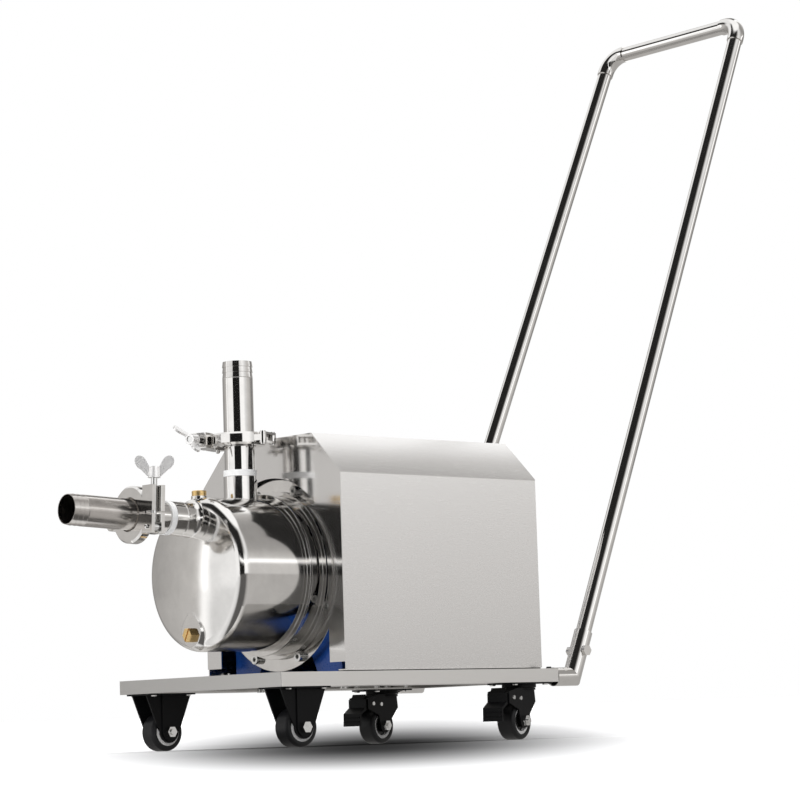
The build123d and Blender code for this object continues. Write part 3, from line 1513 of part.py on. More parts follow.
# Brass plugs
def brass_plug(label, seat, corners, slot_turn):
    """Slotted plug screwed into a boss, head outward along the seat plane."""
    with BuildPart() as plug:
        with BuildSketch(seat):
            if corners:
                hexagon(plug_head_d - 1.5)
            else:
                Circle(plug_head_d / 2)
        extrude(amount=plug_head)
        chamfer(plug.faces().sort_by(Axis(seat.origin, seat.z_dir))[-1].edges(), 0.8)
        with BuildSketch(seat.offset(plug_head)):
            Rectangle(2 * plug_head_d, plug_slot, rotation=slot_turn)
        extrude(amount=-2.4, mode=Mode.SUBTRACT)
        with BuildSketch(seat):
            Circle(plug_thread_d / 2)
        extrude(amount=-9.0)
    save(plug, label)


brass_plug("drain_plug", drain_plane, True, 62)
brass_plug("fill_plug", fill_plane, False, 130)

# Motor cover, a folded hood with a front and a rear panel
z_hood = z_deck + cover_gap


def hood_outline(inset):
    """Corners of the hood's section, moved in by an even inset."""
    half = cover_width / 2 - inset
    bevel = inset * tan(radians(22.5))
    shoulder = z_hood + cover_shoulder - bevel
    top = z_hood + cover_height - cover_gap - inset
    crown = cover_width / 2 - cover_chamfer - bevel
    return [(-half, shoulder), (-crown, top), (crown, top), (half, shoulder)]


def panel_plane(x):
    """Plane across the cart measured from the floor, for the cover's panels."""
    return Plane(origin=(x_front + x, 0, 0), x_dir=(0, 1, 0), z_dir=(1, 0, 0))


with BuildPart() as cover_hood:
    with BuildSketch(panel_plane(cover_x + cover_sheet)):
        half = cover_width / 2
        Polygon((-half, z_hood), *hood_outline(0), (half, z_hood), align=None)
        inner = half - cover_sheet
        Polygon(
            (-inner, z_hood - 1.0),
            *hood_outline(cover_sheet),
            (inner, z_hood - 1.0),
            align=None,
            mode=Mode.SUBTRACT,
        )
        for side in (-1, 1):
            with Locations((side * (half - cover_return / 2), z_hood + cover_sheet / 2)):
                Rectangle(cover_return, cover_sheet)
    extrude(amount=cover_length - cover_sheet)
    with BuildSketch(floor.offset(z_hood)):
        with Locations((cover_mid_x, 0)):
            with GridLocations(cover_screw_pitch, 2 * cover_screw_y, 3, 2):
                Circle(cover_screw_d / 2 + press_gap)
    extrude(amount=cover_sheet, mode=Mode.SUBTRACT)
save(cover_hood, "cover_hood")

panel_inset = cover_sheet + 0.05
with BuildPart() as cover_front:
    window_reach = window_d * sin(radians(window_angle))
    window_rise = window_d * cos(radians(window_angle))
    with BuildSketch(panel_plane(cover_x), mode=Mode.PRIVATE) as window:
        with Locations((0, z_axis)):
            Circle(window_d / 2)
        with BuildLine():
            Polyline(
                (0, z_axis),
                (-window_reach, z_axis + window_rise),
                (window_reach, z_axis + window_rise),
                close=True,
            )
        make_face(mode=Mode.INTERSECT)
    with BuildSketch(panel_plane(cover_x)):
        half = cover_width / 2
        low = z_deck + front_leg_lift
        Polygon((-half, low), *hood_outline(0), (half, low), align=None)
        with Locations((0, z_axis)):
            Circle(cutout_d / 2, mode=Mode.SUBTRACT)
        with Locations((0, z_axis - shaft_height / 2)):
            Rectangle(cover_width - 2 * front_leg_width, shaft_height, mode=Mode.SUBTRACT)
    extrude(amount=cover_sheet)
    extrude(window.sketch, amount=cover_sheet, mode=Mode.SUBTRACT)
save(cover_front, "cover_front")

with BuildPart() as cover_rear:
    with BuildSketch(panel_plane(cover_x + cover_length - cover_sheet)):
        inner = cover_width / 2 - panel_inset
        low = z_hood + cover_sheet + 0.05
        Polygon((-inner, low), *hood_outline(panel_inset), (inner, low), align=None)
        with Locations((0, z_axis)):
            with GridLocations(34.0, 12.0, 5, 13):
                SlotOverall(28.0, 5.0, mode=Mode.SUBTRACT)
        with Locations((cover_width / 2 - 34.0, z_deck + 30.0)):
            Circle(11.0, mode=Mode.SUBTRACT)
    extrude(amount=cover_sheet)
save(cover_rear, "cover_rear")

with BuildPart() as cable_grommet:
    with BuildSketch(panel_plane(cover_x + cover_length - cover_sheet - 3.0)):
        with Locations((cover_width / 2 - 34.0, z_deck + 30.0)):
            Circle(10.9)
            Circle(6.0, mode=Mode.SUBTRACT)
    extrude(amount=6.0)
    with BuildSketch(panel_plane(cover_x + cover_length + 0.05)):
        with Locations((cover_width / 2 - 34.0, z_deck + 30.0)):
            Circle(13.5)
            Circle(6.0, mode=Mode.SUBTRACT)
    extrude(amount=2.5)
save_group((cable_gland, cable_grommet), "cable_entries")

with BuildPart() as cover_strips:
    with BuildSketch(floor.offset(z_deck)):
        with Locations((cover_mid_x, 0)):
            with GridLocations(1, 2 * cover_screw_y, 1, 2):
                Rectangle(cover_length - 2.0, cover_return - 2.0)
            with GridLocations(cover_screw_pitch, 2 * cover_screw_y, 3, 2):
                Circle(cover_screw_d / 2 + press_gap, mode=Mode.SUBTRACT)
    extrude(amount=cover_gap)
save(cover_strips, "cover_strips")

with BuildPart() as cover_screws:
    with BuildSketch(floor.offset(z_deck - deck_sheet)):
        with Locations((cover_mid_x, 0)):
            with GridLocations(cover_screw_pitch, 2 * cover_screw_y, 3, 2):
                Circle(cover_screw_d)
    extrude(amount=-3.0)
    with BuildSketch(floor.offset(z_deck - deck_sheet)):
        with Locations((cover_mid_x, 0)):
            with GridLocations(cover_screw_pitch, 2 * cover_screw_y, 3, 2):
                Circle(cover_screw_d / 2)
    extrude(amount=deck_sheet + cover_gap + cover_sheet + 4.0)
save_group((motor_bolts, motor_nuts, cover_screws), "deck_fixings")
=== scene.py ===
import math

import bpy
from mathutils import Matrix, Vector


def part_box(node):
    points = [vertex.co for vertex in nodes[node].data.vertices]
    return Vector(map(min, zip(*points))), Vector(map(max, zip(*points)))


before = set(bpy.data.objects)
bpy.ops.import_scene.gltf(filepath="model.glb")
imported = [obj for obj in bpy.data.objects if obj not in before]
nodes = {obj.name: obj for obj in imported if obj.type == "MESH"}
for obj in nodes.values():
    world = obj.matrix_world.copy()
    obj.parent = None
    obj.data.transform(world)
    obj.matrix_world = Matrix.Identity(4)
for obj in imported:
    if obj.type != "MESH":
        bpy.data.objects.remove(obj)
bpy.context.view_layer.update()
bpy.context.scene.view_settings.view_transform = "Standard"

# Where the photograph was taken from, in metres and degrees. The tray's front edge gives the X offset.
FRONT_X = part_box("deck_tray")[0].x
YAW, PITCH, ROLL = math.radians(48.494), math.radians(6.616), math.radians(-1.862)
EYE = Vector((FRONT_X - 2.23785, -2.93716, 0.014))
SENSOR = 36
FOCAL_PIXELS, PHOTO_PIXELS = 2868.3, 800
AHEAD = Vector((math.cos(YAW), math.sin(YAW), 0))
ASIDE = Vector((math.sin(YAW), -math.cos(YAW), 0))

# Sizes that the finishes follow, in metres
AXIS_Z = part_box("pump_shaft")[0].z / 2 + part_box("pump_shaft")[1].z / 2
CROWN = 0.012
HOOD_CHAMFER = 0.056
SHOULDER_GAP = 0.0002
RING_IN, RING_OUT, RING_BLUR = 0.0138, 0.0179, 0.0004

# How far the cover's sheet leans out of flat, as a share of its normal
SIDE_LEAN, CHAMFER_LEAN = 0.04, 0.17

STEEL = (0.80, 0.785, 0.765)
HUB_BLACK = (0.007, 0.007, 0.007)
HUBS = ("left_front_hub", "right_front_hub", "left_rear_hub", "right_rear_hub")

# Levels round the studio by degrees from the camera's side: low down, higher up, and on the floor;
# the floor's levels are a painted reflection that the floor glows with in gloss only
CAMERA_SIDE = math.degrees(YAW) + 180
LOW_RING = [(-180, 0.75), (-150, 0.30), (-124, 0.40), (-110, 0.52), (-95, 0.62), (-93.5, 1.7), (-91.5, 1.7),
            (-89, 0.90), (-72, 1.1), (-36, 1.12), (-34, 0.012), (16, 0.012), (18, 1.2), (45, 1.2), (60, 0.85),
            (83, 0.65), (101, 0.56), (125, 0.22), (150, 0.35), (180, 0.75)]
HIGH_RING = [(-180, 0.6), (-165, 1.0), (-112, 1.0), (-106, 0.02), (13, 0.02), (27, 0.35), (40, 0.9),
             (60, 0.9), (80, 0.45), (94, 0.36), (112, 0.36), (128, 0.45), (143, 0.6), (151, 1.25),
             (161, 1.45), (166, 0.1), (175, 0.1), (180, 0.6)]
PAINTED_FLOOR_RING = [(-180, 0.35), (-140, 0.3), (-118, 0.5), (-95, 0.60), (-93, 1.3), (-91, 1.3), (-87, 0.8),
              (-60, 0.95), (-36, 0.8), (-20, 0.12), (27, 0.12), (40, 0.4), (60, 0.55), (83, 0.50),
              (120, 0.45), (180, 0.5)]
CEILING = (1.2, 1.2, 1.2)
HIGH_RISE, CEILING_RISE = (16, 30), (55, 68)
STRIP_TURN, STRIP_HEIGHT, STRIP_BLUR = (-30, 118), (12, 16), 2
STRIP = (1.6, 1.6, 1.6)
FILL = (0.62, 0.62, 0.63, 1)
WHITE = (1, 1, 1, 1)
DIM, WARMTH = 0.8, 0.05

# The floor, flat under the cart, as heights by distance from the camera, in metres
FLAT_START, FLAT_END = 3.50, 4.15
FLOOR_HALF = 12
FLOOR_ROWS = [(-6.0, -0.040), (3.0, -0.040), (3.22, -0.036), (3.30, -0.031), (3.425, -0.0095),
              (FLAT_START, 0.0), (FLAT_END, 0.0), (4.25, 0.006), (4.375, 0.0216), (4.5, 0.043), (4.6, 0.050),
              (14.0, 0.050)]

# The soft shade painted into the floor's colour: its middle and half width, and the distances at which it is
# full and at which it has faded three times over
SHADE_MIDDLE, SHADE_HALF = -0.053, 0.385
SHADE_FRONT, SHADE_BACK, SHADE_TIMES = (2.88, 3.48), (FLAT_END, 5.2), 3
SHADE_DEPTH, SHADE_POWER = 0.80, 2.2
GLOW_REACH, GLOW = (0.8, 2.0), (0.1, 1.0)


def add_camera():
    """Camera in the photographer's place."""
    look = Vector((math.cos(YAW) * math.cos(PITCH), math.sin(YAW) * math.cos(PITCH), math.sin(PITCH)))
    up = ASIDE.cross(look)
    right_rolled = math.cos(ROLL) * ASIDE + math.sin(ROLL) * up
    up_rolled = -math.sin(ROLL) * ASIDE + math.cos(ROLL) * up
    data = bpy.data.cameras.new("camera")
    data.sensor_width = SENSOR
    data.lens = FOCAL_PIXELS / PHOTO_PIXELS * SENSOR
    data.clip_end = 60
    cam = bpy.data.objects.new("camera", data)
    turn = Matrix((right_rolled, up_rolled, -look)).transposed()
    cam.matrix_world = Matrix.Translation(EYE) @ turn.to_4x4()
    bpy.context.scene.collection.objects.link(cam)
    bpy.context.scene.camera = cam


# Materials
class Nodes:
    """Short helper that builds one node material."""

    def __init__(self, name):
        self.mat = bpy.data.materials.new(name)
        self.mat.use_nodes = True
        self.tree = self.mat.node_tree
        self.tree.nodes.clear()
        self.out = self.new("ShaderNodeOutputMaterial")

    def new(self, kind):
        return self.tree.nodes.new(kind)

    def link(self, source, target):
        self.tree.links.new(source, target)

    def coords(self, scale=(1, 1, 1)):
        """Place on the object in metres, stretched by a scale along each axis."""
        place = self.new("ShaderNodeTexCoord")
        mapping = self.new("ShaderNodeMapping")
        mapping.inputs["Scale"].default_value = scale
        self.link(place.outputs["Object"], mapping.inputs["Vector"])
        return mapping.outputs["Vector"]

    def noise(self, vector, scale, detail=4, rough=0.5):
        node = self.new("ShaderNodeTexNoise")
        node.inputs["Scale"].default_value = scale
        node.inputs["Detail"].default_value = detail
        node.inputs["Roughness"].default_value = rough
        self.link(vector, node.inputs["Vector"])
        return node.outputs["Fac"]

    def spread(self, source, low, high, start=0.3, end=0.7):
        """Goes evenly from low to high while the source goes from start to end."""
        node = self.new("ShaderNodeMapRange")
        node.inputs["From Min"].default_value = start
        node.inputs["From Max"].default_value = end
        node.inputs["To Min"].default_value = low
        node.inputs["To Max"].default_value = high
        self.link(source, node.inputs["Value"])
        return node.outputs["Result"]

    def smooth(self, source, start=0, end=1):
        """Rises smoothly from 0 to 1 while the source goes from start to end."""
        node = self.new("ShaderNodeMapRange")
        node.interpolation_type = "SMOOTHSTEP"
        node.inputs["From Min"].default_value = start
        node.inputs["From Max"].default_value = end
        self.link(source, node.inputs["Value"])
        return node.outputs["Result"]

    def colours(self, source, stops):
        """Colour ramp with stops of place and colour."""
        node = self.new("ShaderNodeValToRGB")
        ramp = node.color_ramp
        while len(ramp.elements) < len(stops):
            ramp.elements.new(0.5)
        for element, (at, colour) in zip(ramp.elements, stops):
            element.position = at
            element.color = (*colour, 1)
        self.link(source, node.inputs["Fac"])
        return node.outputs["Color"]

    def math(self, operation, *values):
        node = self.new("ShaderNodeMath")
        node.operation = operation
        for socket, value in zip(node.inputs, values):
            if isinstance(value, (int, float)):
                socket.default_value = value
            else:
                self.link(value, socket)
        return node.outputs["Value"]

    def vector(self, operation, first, second=None):
        """Vector sum; the second vector may be a plain one."""
        node = self.new("ShaderNodeVectorMath")
        node.operation = operation
        self.link(first, node.inputs[0])
        if isinstance(second, (tuple, Vector)):
            node.inputs[1].default_value = second
        elif second:
            self.link(second, node.inputs[1])
        return node.outputs

    def along(self, vector, direction, offset=0):
        """Distance along a direction, from a starting offset."""
        return self.math("ADD", self.vector("DOT_PRODUCT", vector, direction)["Value"], offset)

    def normal(self, kind="Normal"):
        return self.new("ShaderNodeNewGeometry").outputs[kind]

    def mix(self, data_type, factor, first, second):
        """Mix of two numbers, vectors or colours; each is a socket or, for a colour, a plain one."""
        node = self.new("ShaderNodeMix")
        node.data_type = data_type
        kind = {"RGBA": "Color", "VECTOR": "Vector", "FLOAT": "Float"}[data_type]
        inputs = {socket.identifier: socket for socket in node.inputs}
        if isinstance(factor, float):
            inputs["Factor_Float"].default_value = factor
        else:
            self.link(factor, inputs["Factor_Float"])
        for side, value in (("A", first), ("B", second)):
            if isinstance(value, tuple):
                inputs[f"{side}_{kind}"].default_value = (*value, 1)
            else:
                self.link(value, inputs[f"{side}_{kind}"])
        return {socket.identifier: socket for socket in node.outputs}[f"Result_{kind}"]

    def choose(self, factor, first, second):
        """Mix of two shaders."""
        node = self.new("ShaderNodeMixShader")
        self.link(factor, node.inputs["Fac"])
        self.link(first, node.inputs[1])
        self.link(second, node.inputs[2])
        return node.outputs["Shader"]

    def bump(self, source, strength, distance, normal=None):
        node = self.new("ShaderNodeBump")
        node.inputs["Strength"].default_value = strength
        node.inputs["Distance"].default_value = distance
        self.link(source, node.inputs["Height"])
        if normal:
            self.link(normal, node.inputs["Normal"])
        return node.outputs["Normal"]

    def surface(self, metallic=0.0, **fixed):
        """Main shader, with further inputs by name, such as Coat_Weight."""
        shader = self.new("ShaderNodeBsdfPrincipled")
        shader.inputs["Metallic"].default_value = metallic
        for key, value in fixed.items():
            shader.inputs[key.replace("_", " ")].default_value = value
        self.link(shader.outputs["BSDF"], self.out.inputs["Surface"])
        return shader


def tint(colour, factor):
    return tuple(min(1.0, c * factor) for c in colour)


def flat_crown(m, place, node, normal):
    """Keeps the middle of a dished end even: the face's own normal takes over close to its axis."""
    low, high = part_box(node)
    y = m.along(place, (0, 1, 0), -(low.y + high.y) / 2)
    z = m.along(place, (0, 0, 1), -AXIS_Z)
    reach = m.math("SQRT", m.math("ADD", m.math("MULTIPLY", y, y), m.math("MULTIPLY", z, z)))
    return m.mix("VECTOR", m.spread(reach, 1, 0, CROWN / 2, CROWN), normal, m.normal("True Normal"))


def metal(name, colour, rough, spread=0.03, scale=60, wave=0.03, wave_scale=9, edge=0.0, crown=None,
          metallic=1.0):
    """Smooth metal: faint cloudy polish marks in colour and gloss, a slow waviness, and worn edges."""
    m = Nodes(name)
    place = m.coords()
    cloud = m.noise(place, scale, 5, 0.6)
    slow = m.noise(place, wave_scale, 2, 0.4)
    s = m.surface(metallic)
    m.link(m.colours(cloud, [(0.3, tint(colour, 0.94)), (0.7, tint(colour, 1.04))]), s.inputs["Base Color"])
    m.link(m.spread(cloud, max(0.01, rough - spread), rough + spread), s.inputs["Roughness"])
    normal = None
    if edge:
        round_edge = m.new("ShaderNodeBevel")
        round_edge.samples = 4
        round_edge.inputs["Radius"].default_value = edge
        normal = round_edge.outputs["Normal"]
    if crown:
        normal = flat_crown(m, place, crown, normal)
    m.link(m.bump(slow, wave, 0.002, normal), s.inputs["Normal"])
    return m.mat


def sheet_bow(m):
    """The cover's sheet bows out a little, so its side and its chamfer each lean back towards their top."""
    height = m.new("ShaderNodeSeparateXYZ")
    m.link(m.coords(), height.inputs["Vector"])
    low, top = (corner.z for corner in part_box("cover_hood"))
    shoulder = top - HOOD_CHAMFER
    side = m.spread(height.outputs["Z"], -SIDE_LEAN, SIDE_LEAN, low, shoulder)
    slope = m.spread(height.outputs["Z"], -CHAMFER_LEAN, CHAMFER_LEAN, shoulder, top)
    above = m.math("GREATER_THAN", height.outputs["Z"], shoulder + SHOULDER_GAP)
    lean = m.math("ADD", side, m.math("MULTIPLY", above, m.math("SUBTRACT", slope, side)))
    up = m.new("ShaderNodeCombineXYZ")
    m.link(lean, up.inputs["Z"])
    total = m.vector("ADD", m.normal(), up.outputs["Vector"])["Vector"]
    return m.vector("NORMALIZE", total)["Vector"]


def brushed(name, colour, rough, stretch, spread=0.025, strength=0.025, bow=False, front=1.0):
    """Brushed sheet: fine grain drawn out along one axis, and painted shade that darkens faces turned to the
    front.
    """
    m = Nodes(name)
    grain = m.noise(m.coords(stretch), 1800, 2, 0.5)
    broad = m.noise(m.coords(), 5, 3, 0.5)
    s = m.surface(1.0)
    marks = m.mix("FLOAT", 0.35, grain, broad)
    grained = m.colours(marks, [(0.35, tint(colour, 0.985)), (0.65, tint(colour, 1.012))])
    # Painted shade: faces turned to the front (-X) take a darker colour, by the share front
    facing = m.along(m.normal(), (-1, 0, 0))
    front_painted_shade = m.mix("RGBA", m.spread(facing, 0, 1, 0.6, 0.9), grained, tint(colour, front))
    m.link(front_painted_shade, s.inputs["Base Color"])
    m.link(m.spread(grain, rough - spread, rough + spread), s.inputs["Roughness"])
    m.link(sheet_bow(m) if bow else m.bump(grain, strength, 0.00008), s.inputs["Normal"])
    return m.mat


def coated(name, colour, rough, scale=400, strength=0.15, coat=0.0, vary=0.15, specular=0.3):
    """Paint, plastic or rubber: fine skin texture with slight changes of colour and gloss."""
    m = Nodes(name)
    place = m.coords()
    skin = m.noise(place, scale, 4, 0.6)
    cloud = m.noise(place, 22, 3, 0.5)
    s = m.surface(0.0, Coat_Weight=coat, Coat_Roughness=0.12, Specular_IOR_Level=specular)
    m.link(m.colours(cloud, [(0.3, tint(colour, 1 - vary)), (0.7, tint(colour, 1 + vary))]),
           s.inputs["Base Color"])
    m.link(m.spread(skin, max(0.02, rough - 0.07), rough + 0.07), s.inputs["Roughness"])
    m.link(m.bump(skin, strength, 0.0002), s.inputs["Normal"])
    return m.mat


def wheel_hub(name):
    """Black hub with a bright machined ring round its face, drawn by the distance from the axle."""
    low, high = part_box(name)
    m = Nodes(name)
    place = m.coords()
    gap = m.vector("SUBTRACT", place, (low + high) / 2)["Vector"]
    flat = m.vector("MULTIPLY", gap, (1, 0, 1))["Vector"]
    reach = m.vector("LENGTH", flat)["Value"]
    ring = m.math("MULTIPLY", m.spread(reach, 0, 1, RING_IN - RING_BLUR, RING_IN + RING_BLUR),
                  m.spread(reach, 1, 0, RING_OUT - RING_BLUR, RING_OUT + RING_BLUR))
    skin = m.noise(place, 500, 3, 0.5)
    s = m.surface(0.0, Specular_IOR_Level=0.4)
    pale = m.colours(skin, [(0.3, (0.80, 0.79, 0.78)), (0.7, (0.90, 0.89, 0.88))])
    m.link(m.mix("RGBA", ring, HUB_BLACK, pale), s.inputs["Base Color"])
    m.link(m.spread(skin, 0.22, 0.34), s.inputs["Roughness"])
    m.link(m.bump(skin, 0.1, 0.0002), s.inputs["Normal"])
    return m.mat


mats = {
    "polished": metal("polished_steel", STEEL, 0.07, spread=0.02),
    "casing": metal("polished_casing", STEEL, 0.10, spread=0.02, scale=40, wave=0.05, wave_scale=6,
                    edge=0.0014, crown="pump_casing"),
    "satin_pipe": metal("satin_pipe", (0.66, 0.63, 0.60), 0.2, spread=0.05, edge=0.0008),
    "sheet_side": brushed("brushed_cover", (0.88, 0.87, 0.86), 0.27, (0.05, 1, 1), spread=0.004, bow=True),
    "sheet_rear": brushed("brushed_rear", (0.84, 0.83, 0.82), 0.32, (1, 0.05, 1)),
    "sheet_front": brushed("brushed_front", (0.80, 0.79, 0.78), 0.115, (1, 1, 0.05), spread=0.02,
                           strength=0.02),
    # The tray's front faces carry painted shade at 0.7 of its colour
    "tray": brushed("brushed_tray", (0.80, 0.79, 0.77), 0.30, (0.05, 1, 1), front=0.7),
    "zinc": metal("bright_zinc", (0.80, 0.80, 0.79), 0.18, spread=0.05, scale=200),
    "wing": metal("pressed_wings", (0.92, 0.91, 0.90), 0.30, spread=0.04, scale=150, wave_scale=60,
                  metallic=0.7),
    "steel": metal("machined_steel", (0.55, 0.55, 0.56), 0.25, spread=0.06, scale=150),
    "brass": metal("brass", (0.85, 0.60, 0.27), 0.34, spread=0.07, scale=300, wave=0.06, wave_scale=60),
    "blue": coated("blue_paint", (0.010, 0.060, 0.28), 0.30, scale=500, strength=0.10, coat=0.3),
    "black": coated("black_coat", (0.004, 0.004, 0.0045), 0.36, scale=700, strength=0.2, specular=0.13),
    "tyre": coated("black_tread", (0.008, 0.008, 0.009), 0.42, scale=300, strength=0.2),
    "rubber": coated("black_rubber", (0.010, 0.010, 0.010), 0.55, strength=0.2),
    "tape": coated("white_tape", (0.93, 0.93, 0.92), 0.6, scale=900, strength=0.35, vary=0.04),
    "plastic": coated("dark_plastic", (0.03, 0.03, 0.032), 0.45),
}

PAINT = {
    "casing": ["pump_casing", "back_plate"],
    "polished": ["ferrule_adapters", "inlet_clamp", "outlet_clamp", "outlet_hose_tail", "handle_sockets",
                 "handle_uprights", "handle_elbows", "cross_bar", "impeller", "volute_chamber",
                 "handle_fixings"],
    "wing": ["inlet_wing_nut", "outlet_wing_nut"],
    "satin_pipe": ["inlet_hose_tail"],
    "sheet_side": ["cover_hood"],
    "sheet_rear": ["cover_rear"],
    "sheet_front": ["cover_front"],
    "tray": ["deck_tray"],
    "zinc": ["caster_fixings", "deck_fixings", "flange_screws", "left_fork_pins", "right_fork_pins",
             "inlet_swing_bolt", "outlet_swing_bolt"],
    "steel": ["pump_shaft", "motor_rotor", "motor_stator", "motor_bearings"],
    "brass": ["drain_plug", "fill_plug"],
    "blue": ["motor_bracket", "motor_frame", "motor_risers", "rear_shield", "terminal_box", "fan_cowl"],
    "black": ["front_brackets", "swivel_plates", "left_rear_fork", "right_rear_fork", "left_brake_pedal",
              "right_brake_pedal"],
    "tyre": ["left_front_tyre", "right_front_tyre", "left_rear_tyre", "right_rear_tyre"],
    "rubber": ["cover_strips", "seal_rings", "cable_entries", "socket_fixings"],
    "tape": ["thread_tapes"],
    "plastic": ["fan", "seal_head"],
}
for hub in HUBS:
    mats[hub] = wheel_hub(hub)
    PAINT[hub] = [hub]
for key, names in PAINT.items():
    for name in names:
        nodes[name].data.materials.clear()
        nodes[name].data.materials.append(mats[key])


# Studio: a white room with a dark doorway behind the camera, seen in the gloss only
def ring_stops(levels):
    """Colour ramp stops for levels round the room, a little warm where they are dim."""
    stops = []
    for turn, level in levels:
        warm = WARMTH if level < DIM else 0.0
        stops.append(((turn + 180) / 360, (level, level * (1 - warm / 2), level * (1 - warm))))
    return stops


class Room(Nodes):
    """Builds the world's shader from directions: a turn from the camera's side and a height, in degrees."""

    def __init__(self, world):
        world.use_nodes = True
        self.tree = world.node_tree
        self.tree.nodes.clear()
        split = self.new("ShaderNodeSeparateXYZ")
        self.link(self.new("ShaderNodeTexCoord").outputs["Generated"], split.inputs["Vector"])
        x, y, z = (split.outputs[k] for k in "XYZ")
        c, s = math.cos(math.radians(CAMERA_SIDE)), math.sin(math.radians(CAMERA_SIDE))
        ahead = self.math("ADD", self.math("MULTIPLY", x, c), self.math("MULTIPLY", y, s))
        across = self.math("SUBTRACT", self.math("MULTIPLY", y, c), self.math("MULTIPLY", x, s))
        self.turn = self.math("DEGREES", self.math("ARCTAN2", across, ahead))
        self.height = self.math("DEGREES", self.math("ARCSINE", z))

    def patch(self, turn, height, soft):
        """Soft-edged window between two turns and two heights."""
        parts = [self.smooth(self.turn, turn[0] - soft, turn[0] + soft),
                 self.smooth(self.turn, turn[1] + soft, turn[1] - soft),
                 self.smooth(self.height, height[0] - soft, height[0] + soft),
                 self.smooth(self.height, height[1] + soft, height[1] - soft)]
        total = parts[0]
        for part in parts[1:]:
            total = self.math("MULTIPLY", total, part)
        return total

    def ring(self, levels):
        return self.colours(self.math("DIVIDE", self.math("ADD", self.turn, 180), 360), ring_stops(levels))

    def backdrop(self, colour):
        node = self.new("ShaderNodeBackground")
        if isinstance(colour, tuple):
            node.inputs["Color"].default_value = colour
        else:
            self.link(colour, node.inputs["Color"])
        return node.outputs["Background"]


def add_world():
    """Even light for the surfaces, the studio in their gloss, and plain white behind them."""
    world = bpy.data.worlds.new("studio")
    bpy.context.scene.world = world
    room = Room(world)
    colour = room.mix("RGBA", room.smooth(room.height, *HIGH_RISE), room.ring(LOW_RING), room.ring(HIGH_RING))
    colour = room.mix("RGBA", room.smooth(room.height, *CEILING_RISE), colour, CEILING)
    colour = room.mix("RGBA", room.patch(STRIP_TURN, STRIP_HEIGHT, STRIP_BLUR), colour, STRIP)
    path = room.new("ShaderNodeLightPath")
    seen = room.math("MAXIMUM", path.outputs["Is Camera Ray"], path.outputs["Is Transmission Ray"])
    lit = room.choose(path.outputs["Is Glossy Ray"], room.backdrop(FILL), room.backdrop(colour))
    shown = room.choose(seen, lit, room.backdrop(WHITE))
    room.link(shown, room.new("ShaderNodeOutputWorld").inputs["Surface"])


def lamp(name, place, target, size, power):
    """Soft area lamp that neither the camera nor the gloss sees."""
    data = bpy.data.lights.new(name, "AREA")
    data.shape = "RECTANGLE"
    data.size, data.size_y = size
    data.energy = power
    obj = bpy.data.objects.new(name, data)
    bpy.context.scene.collection.objects.link(obj)
    aim = (Vector(target) - Vector(place)).normalized()
    obj.matrix_world = Matrix.Translation(place) @ aim.to_track_quat("-Z", "Y").to_matrix().to_4x4()
    obj.visible_glossy = False
    obj.visible_camera = False


def floor_mesh(start):
    """Strip of wide rows, a little lower towards the camera and a little higher behind the cart."""
    verts = [tuple(start + AHEAD * distance + ASIDE * side + Vector((0, 0, height)))
             for distance, height in FLOOR_ROWS for side in (-FLOOR_HALF, FLOOR_HALF)]
    faces = [(2 * i, 2 * i + 1, 2 * i + 3, 2 * i + 2) for i in range(len(FLOOR_ROWS) - 1)]
    mesh = bpy.data.meshes.new("floor")
    mesh.from_pydata(verts, [], faces)
    for face in mesh.polygons:
        face.use_smooth = True
    return mesh


def floor_shade(m, place, start):
    """Distance from the middle of the painted shade, which is 1 at its edge."""
    depth = m.along(place, AHEAD, -start.dot(AHEAD))
    width = m.math("DIVIDE", m.along(place, ASIDE, -start.dot(ASIDE) - SHADE_MIDDLE), SHADE_HALF)
    front = m.spread(depth, SHADE_TIMES, 0, *SHADE_FRONT)
    behind = m.spread(depth, 0, SHADE_TIMES, *SHADE_BACK)
    return m.math("SQRT", m.math("ADD", m.math("POWER", m.math("MAXIMUM", front, behind), 2),
                                 m.math("POWER", width, 2)))


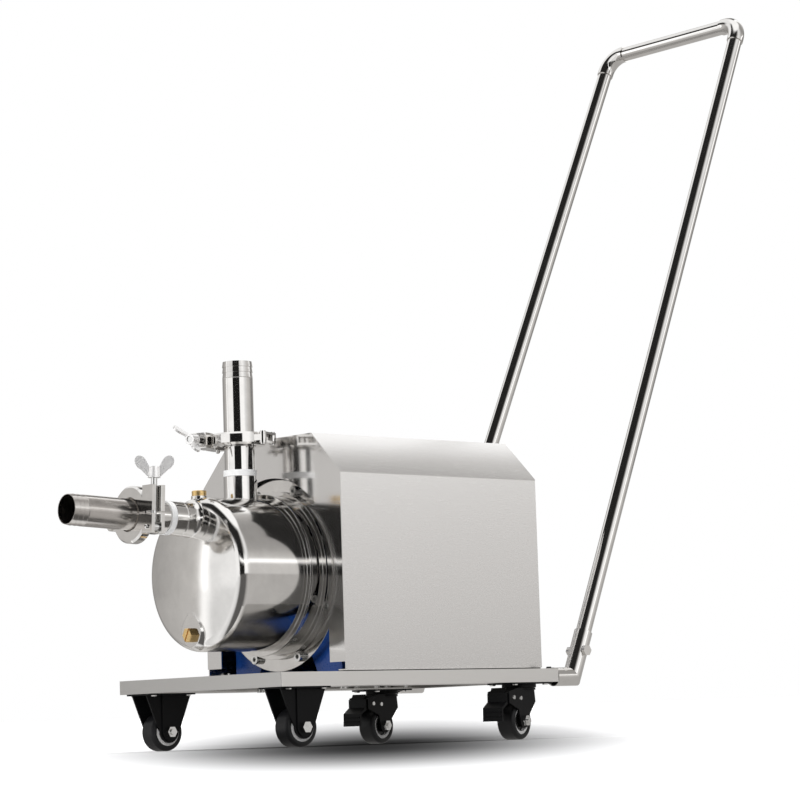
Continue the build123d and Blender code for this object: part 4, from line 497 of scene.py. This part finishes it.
def painted_floor_reflection(m, place):
    """Painted reflection: the floor glows for gloss rays only, in levels set by direction from the pump, as
    polished steel's view of the floor.
    """
    low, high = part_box("pump_casing")
    x = m.along(place, (1, 0, 0), -(low.x + high.x) / 2)
    y = m.along(place, (0, 1, 0), -(low.y + high.y) / 2)
    turn = m.math("SUBTRACT", m.math("DEGREES", m.math("ARCTAN2", y, x)), CAMERA_SIDE - 180)
    turn = m.math("WRAP", m.math("DIVIDE", turn, 360), 1, 0)
    reflection_glow = m.new("ShaderNodeEmission")
    m.link(m.colours(turn, ring_stops(PAINTED_FLOOR_RING)), reflection_glow.inputs["Color"])
    return reflection_glow.outputs["Emission"]


def add_floor():
    """White floor that keeps the cart's shadow, with a soft painted shade under the cart in its colour and a
    painted reflection in its gloss.
    """
    start = Vector((EYE.x, EYE.y, 0))
    mesh = floor_mesh(start)
    m = Nodes("floor")
    place = m.coords()
    reach = floor_shade(m, place, start)
    # Painted shade: the floor's colour and its white glow both darken towards the middle of the shade
    shade = m.math("MULTIPLY_ADD", m.smooth(reach), SHADE_DEPTH, 1 - SHADE_DEPTH)
    lit = m.math("POWER", shade, SHADE_POWER)
    grain = m.noise(place, 3.0, 3, 0.5)
    white = m.colours(grain, [(0.3, (0.88, 0.88, 0.88)), (0.7, (0.92, 0.92, 0.92))])
    path = m.new("ShaderNodeLightPath")
    paint = m.new("ShaderNodeBsdfDiffuse")
    m.link(m.mix("RGBA", lit, (0.0, 0.0, 0.0), white), paint.inputs["Color"])
    glow = m.new("ShaderNodeEmission")
    glow.inputs["Color"].default_value = WHITE
    lift = m.math("MULTIPLY", path.outputs["Is Camera Ray"], lit)
    m.link(m.math("MULTIPLY", lift, m.spread(reach, *GLOW, *GLOW_REACH)), glow.inputs["Strength"])
    both = m.new("ShaderNodeAddShader")
    m.link(paint.outputs["BSDF"], both.inputs[0])
    m.link(glow.outputs["Emission"], both.inputs[1])
    # Painted reflection: gloss rays see the floor's glow by direction instead of its lit colour
    pick = m.choose(path.outputs["Is Glossy Ray"], both.outputs["Shader"], painted_floor_reflection(m, place))
    m.link(pick, m.out.inputs["Surface"])
    mesh.materials.append(m.mat)
    obj = bpy.data.objects.new("floor", mesh)
    bpy.context.scene.collection.objects.link(obj)


add_camera()
add_world()
add_floor()
lamp("top_lamp", (0.1, -0.3, 3.2), (0, 0, 0.2), (2.6, 2.6), 50)
lamp("left_lamp", (-2.8, -0.6, 1.6), (0, 0, 0.3), (1.6, 2.2), 42)
